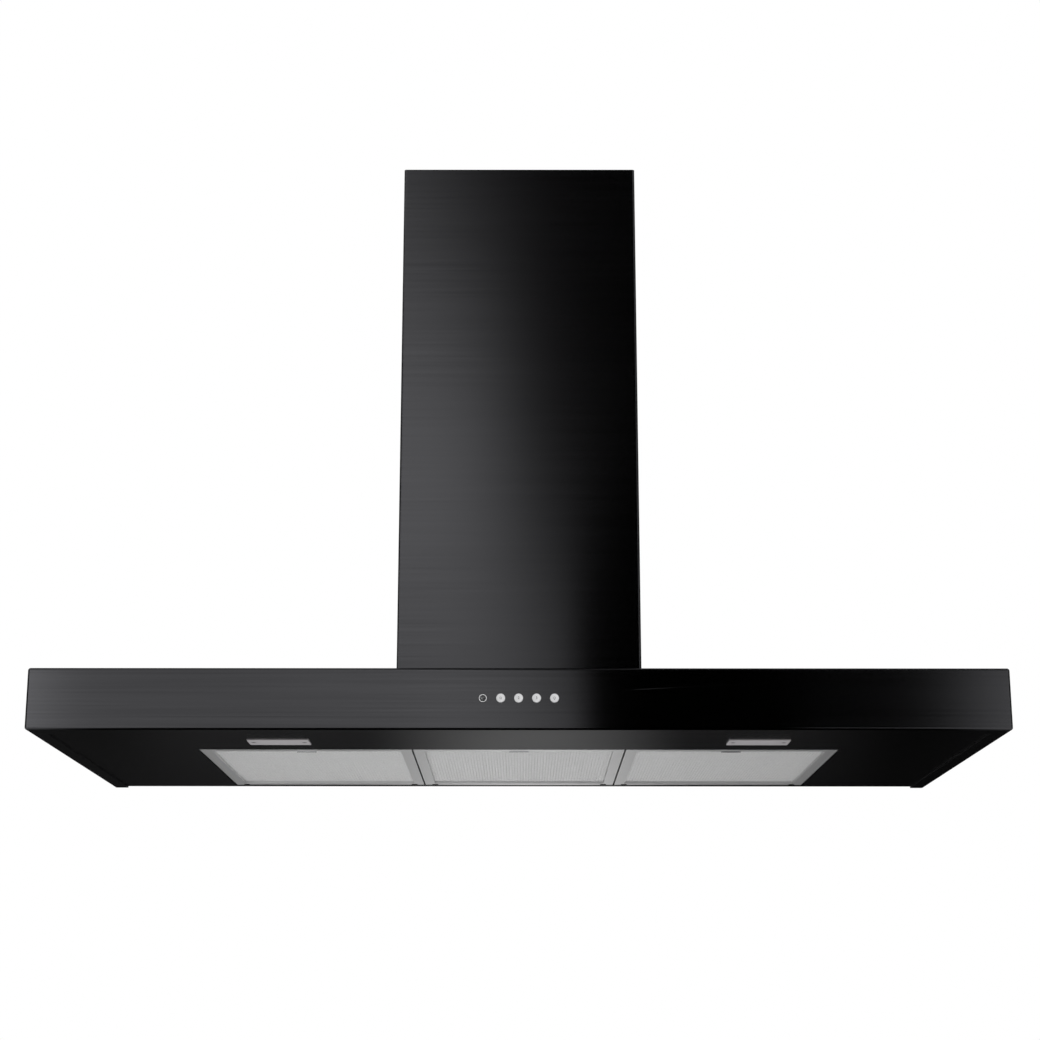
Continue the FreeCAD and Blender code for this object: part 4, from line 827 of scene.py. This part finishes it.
@dataclass
class Lamps:
    """Two lamps: frosted covers, housings, boards and screws."""

    offset: float = 278 * MM
    depth: float = -402 * MM
    screw_pitch: float = 59 * MM

    def build(self) -> None:
        """Dress the lamps and make their screws."""
        dress(FROSTED, "lamp_lens_left", "lamp_lens_right")
        dress(GALVANISED, "lamp_housing_left", "lamp_housing_right")
        dress(BOARD_WHITE, "lamp_boards")
        half = self.screw_pitch / 2
        columns = tuple(side * self.offset + end * half for side in (-1, 1) for end in (-1, 1))
        ScrewSet("lamp_screws", columns, (self.depth,), False, DARK_SCREW).build()


class Mark(Enum):
    """Marks on the four push buttons, from the left."""

    RING = 1
    SECOND_SPEED = 2
    THIRD_SPEED = 3
    LAMP = 4


@dataclass
class PushButton:
    """Round push button with a dished cap and an inlaid mark."""

    mark: Mark
    pitch: float = 20 * MM
    front: float = -500 * MM
    height: float = 35.5 * MM
    radius: float = 4.9 * MM
    proud: float = 2.0 * MM
    dish: float = 0.12 * MM
    flange_radius: float = 6.2 * MM
    flange_front: float = 1.3 * MM
    flange_back: float = 2.3 * MM
    stem_radius: float = 2.0 * MM
    stem_end: float = 8.8 * MM
    travel: float = 1.5 * MM
    spring_radius: float = 3.0 * MM
    spring_wire: float = 0.4 * MM
    spring_turns: int = 3
    steps_in_turn: int = 20
    inlay: float = 0.04 * MM
    figure_size: float = 4.2 * MM
    ring_radius: float = 1.15 * MM
    line_half: float = 0.16 * MM
    lamp_bars: Outline = ((1.55 * MM, 0.6 * MM), (2.0 * MM, 0.4 * MM))

    def centre(self) -> Point:
        """Give the point on the button's axis in the plane of the canopy's front."""
        return ((self.mark.value - 2) * self.pitch, self.front, self.height)

    def build(self) -> None:
        """Make the button, its mark and its spring."""
        top, rim = -self.proud, self.radius
        dished = top + self.dish
        outline = ((0.0, dished), (rim - 1.0 * MM, dished), (rim - 0.55 * MM, top),
                   (rim - 0.25 * MM, top), (rim, top + 0.3 * MM), (rim, self.flange_front),
                   (self.flange_radius, self.flange_front), (self.flange_radius, self.flange_back),
                   (self.stem_radius, self.flange_back), (self.stem_radius, self.stem_end),
                   (0.0, self.stem_end))
        shape = bmesh.new()
        turn(shape, outline, self.centre())
        number = self.mark.value
        keep(f"button_cap_{number}", shape, BUTTON_SILVER, f"button_{number}",
             [f"button_{number}"])
        self.make_mark()
        self.make_spring()

    def make_spring(self) -> None:
        """Make the coil spring that pushes the button back."""
        low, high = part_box("button_springs")
        steps = self.steps_in_turn * self.spring_turns
        rise = (high.y - low.y - self.spring_wire) / steps
        middle = Vector(self.centre())
        middle.y = low.y + self.spring_wire / 2
        shape = bmesh.new()
        bmesh.ops.create_circle(
            shape, segments=8, radius=self.spring_wire / 2,
            matrix=Matrix.Translation(middle + Vector((self.spring_radius, 0.0, 0.0))))
        bmesh.ops.spin(shape, geom=shape.verts[:] + shape.edges[:], cent=middle, axis=(0, 1, 0),
                       dvec=(0.0, rise, 0.0), angle=math.tau * self.spring_turns, steps=steps)
        ends = [edge for edge in shape.edges if edge.is_boundary]
        bmesh.ops.holes_fill(shape, edges=ends, sides=0)
        bmesh.ops.recalc_face_normals(shape, faces=shape.faces[:])
        number = self.mark.value
        piece = keep(f"button_spring_{number}", shape, SPRING_STEEL, "hood",
                     ["button_springs"] if number == 1 else [])
        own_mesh(piece)

    def make_mark(self) -> None:
        """Make the mark that lies in the dish."""
        number = self.mark.value
        place = Vector(self.centre()) + Vector((0.0, self.dish - self.proud - self.inlay, 0.0))
        shape = bmesh.new()
        if self.mark in (Mark.SECOND_SPEED, Mark.THIRD_SPEED):
            self.figure(shape, place)
        else:
            self.ring(shape, place)
            if self.mark is Mark.LAMP:
                for drop, half in self.lamp_bars:
                    self.bar(shape, place - Vector((0.0, 0.0, drop)), half)
        keep(f"button_mark_{number}", shape, MARK_GREY, f"button_{number}")

    def figure(self, shape: bmesh.types.BMesh, place: Vector) -> None:
        """Add the button's number as a thin solid.

        Args:
            shape: Where it goes.
            place: Its middle.
        """
        curve = bpy.data.curves.new("figure", "FONT")
        curve.body = str(self.mark.value)
        curve.size = self.figure_size
        curve.align_x = "CENTER"
        curve.align_y = "CENTER"
        curve.extrude = self.inlay
        holder = bpy.data.objects.new("figure", curve)
        bpy.context.scene.collection.objects.link(holder)
        mesh = bpy.data.meshes.new_from_object(
            holder.evaluated_get(bpy.context.evaluated_depsgraph_get()))
        bpy.data.objects.remove(holder)
        mesh.transform(Matrix.Translation(place) @ Matrix.Rotation(math.pi / 2, 4, "X"))
        shape.from_mesh(mesh)
        bpy.data.meshes.remove(mesh)

    def ring(self, shape: bmesh.types.BMesh, place: Vector) -> None:
        """Add a thin ring.

        Args:
            shape: Where it goes.
            place: Its middle.
        """
        inner, outer = self.ring_radius - self.line_half, self.ring_radius + self.line_half
        thick = self.inlay
        turn(shape, ((inner, -thick), (outer, -thick), (outer, thick), (inner, thick),
                     (inner, -thick)), tuple(place), 32)

    def bar(self, shape: bmesh.types.BMesh, place: Vector, half: float) -> None:
        """Add a short level bar.

        Args:
            shape: Where it goes.
            place: Its middle.
            half: Half of its length.
        """
        made = bmesh.ops.create_circle(shape, cap_ends=True, segments=8, radius=1.0)["verts"]
        size = Matrix.Diagonal((half, self.inlay, self.line_half, 1.0))
        flat = size @ Matrix.Rotation(math.pi / 2, 4, "X")
        bmesh.ops.transform(shape, matrix=Matrix.Translation(place) @ flat, verts=made)
        face = made[0].link_faces[0]
        grown = bmesh.ops.extrude_face_region(shape, geom=[face])["geom"]
        bmesh.ops.translate(shape, vec=(0.0, -self.inlay, 0.0), verts=corners_in(grown))


@dataclass
class Indicator:
    """Lamp beside the buttons: bezel, clear dome and the diode behind it.

    The outlines are radius and depth in millimetres.
    """

    centre: Point = (-40 * MM, -500 * MM, 35.5 * MM)
    bezel: Outline = ((4.0, -0.2), (4.5, -0.35), (5.0, -0.2), (5.0, -0.01), (4.28, 0.0),
                      (4.28, 5.0), (4.0, 5.0), (4.0, -0.2))
    lip: Outline = ((3.55, 0.2), (3.55, -0.35), (3.75, -0.55), (4.2, -0.55), (4.42, -0.35),
                    (3.98, -0.2), (3.98, 4.9), (3.55, 4.9), (3.55, 0.2))
    dome_foot: Outline = ((3.5, 4.9), (2.8, 4.9))
    diode: Outline = ((0.0, 1.3), (0.9, 1.5), (1.5, 2.2), (1.5, 4.2), (1.9, 4.2), (1.9, 4.8),
                      (0.0, 4.8))
    dome_radius: float = 3.5
    dome_rise: float = 2.5
    dome_depth: float = 1.3
    dome_wall: float = 0.5
    hollow: float = 0.8
    arc_steps: int = 10

    def build(self) -> None:
        """Make the four pieces."""
        for name, outline, finish, slot, stands_for, steps in (
                ("bezel", self.bezel, BLACK_PLASTIC, "bright_ring", ["indicator_ring"], 64),
                ("lip", self.lip, BRIGHT_RING, "bright_ring", [], 64),
                ("dome", self.dome(), CLEAR, "clear_plastic", ["indicator_lens"], 64),
                ("diode", self.diode, FLAP_PLASTIC, "black_plastic", [], 32)):
            shape = bmesh.new()
            turn(shape, [(radius * MM, depth * MM) for radius, depth in outline], self.centre,
                 steps)
            keep(f"indicator_{name}", shape, finish, "hood", stands_for)

    def dome(self) -> Outline:
        """Give the outline of the hollow dome.

        Returns:
            Radius and depth of its corners in millimetres.
        """
        outer = []
        for step in range(self.arc_steps + 1):
            angle = step * math.pi / 2 / self.arc_steps
            outer.append((self.dome_radius * math.sin(angle),
                          self.dome_depth - self.dome_rise * math.cos(angle)))
        inner = [(radius * self.hollow, depth + self.dome_wall)
                 for radius, depth in reversed(outer)]
        return [*outer, *self.dome_foot, *inner]


@dataclass
class Controls:
    """Indicator, four push buttons and what lies behind them."""

    def build(self) -> None:
        """Make and dress the controls."""
        for mark in Mark:
            PushButton(mark).build()
        Indicator().build()
        dress(BLACK_PLASTIC, "button_guide", "control_box", "control_box_lid")
        dress(BOARD_GREEN, "switch_board", "power_board")


@dataclass
class Blower:
    """Chamber, casing, wheel and motor with their wiring."""

    screw_columns: tuple[float, ...] = (-135 * MM, 135 * MM)
    screw_rows: tuple[float, ...] = (-208 * MM, -132 * MM, -56 * MM)

    def build(self) -> None:
        """Dress the blower and make the screws of its chamber."""
        dress(GALVANISED, "blower_chamber", "motor_bracket", "inlet_rings", "impeller")
        dress(BLACK_PLASTIC, "scroll_casing", "terminal_box", "cable_gland", "outlet_collar")
        dress(FLAP_PLASTIC, "damper_flap_front", "damper_flap_rear")
        dress(ZINC_PLATE, "motor_shaft", "damper_pin", "filter_hooks")
        dress(MOTOR_PAINT, "motor")
        dress(CASE_WHITE, "capacitor")
        dress(LEAD_RUBBER, "lamp_leads", "control_lead", "motor_lead")
        ScrewSet("chamber_screws", self.screw_columns, self.screw_rows, True).build()


@dataclass
class Flue:
    """Telescopic cover with its feet and the fixings on the wall."""

    foot_screw_rows: tuple[float, ...] = (-147 * MM, -117 * MM)

    def build(self) -> None:
        """Dress the cover and its fixings and make the screws of its feet."""
        dress(BLACK_STEEL, "lower_flue_cover", "upper_flue_cover")
        dress(GALVANISED, "flue_feet", "wall_hanger", "chamber_hook", "flue_wall_bracket")
        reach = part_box("flue_foot_screws")[1].x - CrossHeadScrew.head_radius
        ScrewSet("flue_foot_screws", (-reach, reach), self.foot_screw_rows, True).build()


@dataclass(frozen=True)
class Card:
    """Studio card that only reflections show, with soft edges."""

    name: str
    centre: Point
    width: float
    height: float
    level: float
    softness: float = 0.3
    upper_softness: float | None = None
    facing: float = 0.0
    lean: float = 0.0
    lying: bool = False
    turn_over: float = 0.6

    def build(self) -> None:
        """Stand the card up in the studio."""
        shape = bmesh.new()
        bmesh.ops.create_grid(shape, x_segments=1, y_segments=1, size=1.0)
        mesh = bpy.data.meshes.new(self.name)
        shape.to_mesh(mesh)
        shape.free()
        card = bpy.data.objects.new(self.name, mesh)
        raised = Matrix.Rotation(0.0 if self.lying else math.pi / 2, 4, "X")
        card.matrix_world = (Matrix.Translation(self.centre)
                             @ Matrix.Rotation(self.facing, 4, "Z")
                             @ Matrix.Rotation(self.lean, 4, "Y") @ raised
                             @ Matrix.Diagonal((self.width / 2, self.height / 2, 1.0, 1.0)))
        bpy.context.scene.collection.objects.link(card)
        for kind in ("camera", "diffuse", "shadow", "transmission", "volume_scatter"):
            setattr(card, f"visible_{kind}", False)
        mesh.materials.append(self.paper())
        log.info("stood up %s", self.name)

    def thinning(self, bench: Bench, place: Socket, reach: Socket | float) -> Socket:
        """Give how dense the paper is, falling to 0 at two opposite edges.

        Args:
            bench: Where the nodes go.
            place: Position between the edges, from -1 to 1.
            reach: How far from the edges the paper thins out.

        Returns:
            The density.
        """
        inside = bench.combine("SUBTRACT", bench.combine("ABSOLUTE", place), 1.0)
        share = bench.combine("DIVIDE", bench.combine("ABSOLUTE", inside), reach)
        return bench.add("ShaderNodeMapRange", {"Value": share},
                         interpolation_type="SMOOTHSTEP").outputs["Result"]

    def paper(self) -> bpy.types.Material:
        """Give the card's paper, which thins out towards its edges.

        Returns:
            The material.
        """
        bench = SurfaceBench(f"{self.name}_paper")
        parts = bench.add("ShaderNodeSeparateXYZ", {"Vector": bench.stretched()})
        upper = self.softness if self.upper_softness is None else self.upper_softness
        across = bench.spread(parts.outputs["Y"], 2 * self.softness / self.width,
                              2 * upper / self.width, -self.turn_over, self.turn_over)
        shares = [self.thinning(bench, parts.outputs["X"], across),
                  self.thinning(bench, parts.outputs["Y"], 2 * self.softness / self.height)]
        clear = bench.add("ShaderNodeBsdfTransparent").outputs[0]
        glow = bench.add("ShaderNodeEmission", {"Strength": self.level}).outputs[0]
        mix = bench.add("ShaderNodeMixShader", {
            "Fac": bench.combine("MULTIPLY", *shares), 1: clear, 2: glow})
        bench.feed(bench.output.inputs["Surface"], mix.outputs[0])
        bench.tree.nodes.remove(bench.shader)
        bench.material.cycles.emission_sampling = "NONE"
        return bench.material


@dataclass(frozen=True)
class SoftLamp:
    """Large square lamp that aims at the hood and isn't seen itself."""

    name: str
    place: Point
    size: float
    power: float
    aim: Point = (0.0, -0.25, 0.3)

    def build(self) -> None:
        """Hang the lamp."""
        light = bpy.data.lights.new(self.name, "AREA")
        light.shape = "SQUARE"
        light.size = self.size
        light.energy = self.power
        lamp = bpy.data.objects.new(self.name, light)
        way = Vector(self.aim) - Vector(self.place)
        lamp.matrix_world = (Matrix.Translation(self.place)
                             @ way.to_track_quat("-Z", "Y").to_matrix().to_4x4())
        lamp.visible_camera = False
        lamp.visible_glossy = False
        bpy.context.scene.collection.objects.link(lamp)
        log.info("hung %s", self.name)


@dataclass
class Studio:
    """Pale floor, soft lamps, white surroundings and the camera."""

    floor_height: float = -0.66
    floor_reach: float = 30.0
    floor_grey: float = 0.36
    floor_roughness: float = 0.9
    floor_glow: float = 0.64
    far_light: float = 0.3
    near: float = 2.0
    far: float = 9.0
    ambient: float = 0.55
    lens: float = 67.503
    sensor: float = 36.0
    shift: float = 0.04
    stand: Point = (0.00358, -2.64776, -0.34245)
    pitch: float = math.radians(13.987)
    heading: float = 0.00102
    roll: float = 0.00069

    def build(self) -> None:
        """Set the stage round the hood."""
        self.lay_floor()
        self.surround()
        self.hang_lamps()
        self.stand_cards()
        self.set_camera()
        view = bpy.context.scene.view_settings
        view.view_transform = "Standard"

    def lay_floor(self) -> None:
        """Lay a plain pale floor that keeps the hood's shadow and turns white further off."""
        shape = bmesh.new()
        bmesh.ops.create_grid(shape, x_segments=1, y_segments=1, size=self.floor_reach)
        bmesh.ops.translate(shape, vec=(0.0, 0.0, self.floor_height), verts=shape.verts[:])
        mesh = bpy.data.meshes.new("studio_floor")
        shape.to_mesh(mesh)
        shape.free()
        floor = bpy.data.objects.new("studio_floor", mesh)
        bpy.context.scene.collection.objects.link(floor)
        bench = SurfaceBench("studio_floor")
        bench.set("Base Color", (*(self.floor_grey,) * 3, 1.0))
        bench.set("Roughness", self.floor_roughness)
        bench.set("Specular IOR Level", 0.0)
        glow = bench.add("ShaderNodeEmission", {
            "Strength": bench.combine("MULTIPLY", self.seen(bench), self.floor_glow)})
        near = bench.add("ShaderNodeAddShader", {0: bench.shader.outputs[0], 1: glow.outputs[0]})
        far = bench.add("ShaderNodeEmission", {
            "Strength": bench.spread(self.seen(bench), self.far_light, 1.0, 0.0, 1.0)})
        away = bench.add("ShaderNodeVectorMath", {0: bench.stretched()}, operation="LENGTH")
        mix = bench.add("ShaderNodeMixShader", {
            "Fac": bench.spread(away.outputs["Value"], 0.0, 1.0, self.near, self.far),
            1: near.outputs[0], 2: far.outputs[0]})
        bench.feed(bench.output.inputs["Surface"], mix.outputs[0])
        bench.material.cycles.emission_sampling = "NONE"
        mesh.materials.append(bench.material)

    def seen(self, bench: Bench) -> Socket:
        """Give 1 for what the camera, a gloss or a clear piece sees, and 0 for plain light.

        Args:
            bench: Where the nodes go.

        Returns:
            The value.
        """
        path = bench.add("ShaderNodeLightPath")
        value = path.outputs["Is Camera Ray"]
        for name in ("Is Glossy Ray", "Is Transmission Ray"):
            value = bench.combine("MAXIMUM", value, path.outputs[name])
        return value

    def surround(self) -> None:
        """Surround the hood with plain white and light it softly from all round."""
        world = bpy.data.worlds.new("studio")
        bpy.context.scene.world = world
        world.use_nodes = True
        world.cycles.sampling_method = "NONE"
        bench = Bench(world.node_tree)
        ground = bench.add("ShaderNodeBackground", {
            "Color": (1.0, 1.0, 1.0, 1.0),
            "Strength": bench.spread(self.seen(bench), self.ambient, 1.0, 0.0, 1.0)})
        bench.add("ShaderNodeOutputWorld", {"Surface": ground.outputs[0]})

    def hang_lamps(self) -> None:
        """Hang three large soft lamps round the hood and a weak one under it."""
        for lamp in (SoftLamp("key_lamp", (-2.7, -3.0, 2.2), 2.2, 58.0),
                     SoftLamp("fill_lamp", (3.0, -2.4, 1.6), 2.0, 26.0),
                     SoftLamp("top_lamp", (0.4, 0.8, 3.4), 2.4, 34.0),
                     SoftLamp("under_lamp", (-0.05, -0.35, -0.58), 1.0, 6.0)):
            lamp.build()

    def stand_cards(self) -> None:
        """Stand the cards that shape the reflections in the black steel."""
        side = math.pi / 2
        for card in (
                Card("dark_front", (1.0, -3.5, 1.5), 2.4, 6.0, 0.0, 0.08, 0.5,
                     lean=math.radians(-19.5)),
                Card("dark_low", (0.24, -1.0, 0.0), 0.36, 0.7, 0.0, 0.05),
                Card("dark_floor", (0.0, -0.75, -0.62), 1.5, 2.4, 0.0, 0.12, lying=True),
                Card("dark_floor_back", (0.0, 0.75, -0.63), 4.4, 1.5, 0.0, 0.1, lying=True),
                Card("dark_ceiling", (0.0, -0.8, 3.6), 4.0, 4.0, 0.1, 0.8, lying=True),
                Card("light_front", (-0.36, -3.4, 1.3), 0.85, 0.9, 2.4, 0.35),
                Card("light_low", (-0.12, -3.4, 0.1), 0.45, 0.8, 1.7, 0.15),
                Card("light_left", (-1.75, -3.4, 0.5), 1.2, 1.8, 2.8, 0.25),
                Card("light_right", (1.75, -3.4, 0.4), 1.4, 2.2, 1.4, 0.35),
                Card("light_rim", (-1.2, -3.45, -0.25), 2.5, 0.55, 1.5, 0.12),
                Card("light_floor", (-0.05, 1.6, -0.6), 1.7, 1.7, 1.2, 0.3, lying=True),
                Card("light_back", (-0.02, 1.6, -0.3), 1.0, 1.0, 0.8, 0.45),
                Card("dark_back_left", (-2.05, 1.5, -0.2), 4.1, 1.3, 0.045, 0.35),
                Card("dark_back_right", (2.08, 1.5, -0.1), 4.1, 1.6, 0.015, 0.35),
                Card("dark_side_left", (-3.0, -1.65, 1.1), 4.1, 2.6, 0.12, 0.3, facing=side),
                Card("dark_side_right", (3.0, -1.65, 1.1), 4.1, 2.6, 0.12, 0.3, facing=side)):
            card.build()

    def set_camera(self) -> None:
        """Put the camera at the photographed viewing angle."""
        data = bpy.data.cameras.new("camera")
        data.lens = self.lens
        data.sensor_width = self.sensor
        data.shift_y = self.shift
        camera = bpy.data.objects.new("camera", data)
        camera.matrix_world = (Matrix.Translation(self.stand)
                               @ Matrix.Rotation(self.heading, 4, "Z")
                               @ Matrix.Rotation(math.pi / 2 + self.pitch, 4, "X")
                               @ Matrix.Rotation(self.roll, 4, "Z"))
        bpy.context.scene.collection.objects.link(camera)
        bpy.context.scene.camera = camera


def main() -> None:
    """Build the hood's looks piece by piece, then the studio."""
    parts = [Canopy(), *map(GreaseFilter, Side), Lamps(), Controls(), Blower(), Flue(), Studio()]
    for part in parts:
        log.info("building %s", type(part).__name__)
        part.build()


if __name__ == "__main__":
    main()
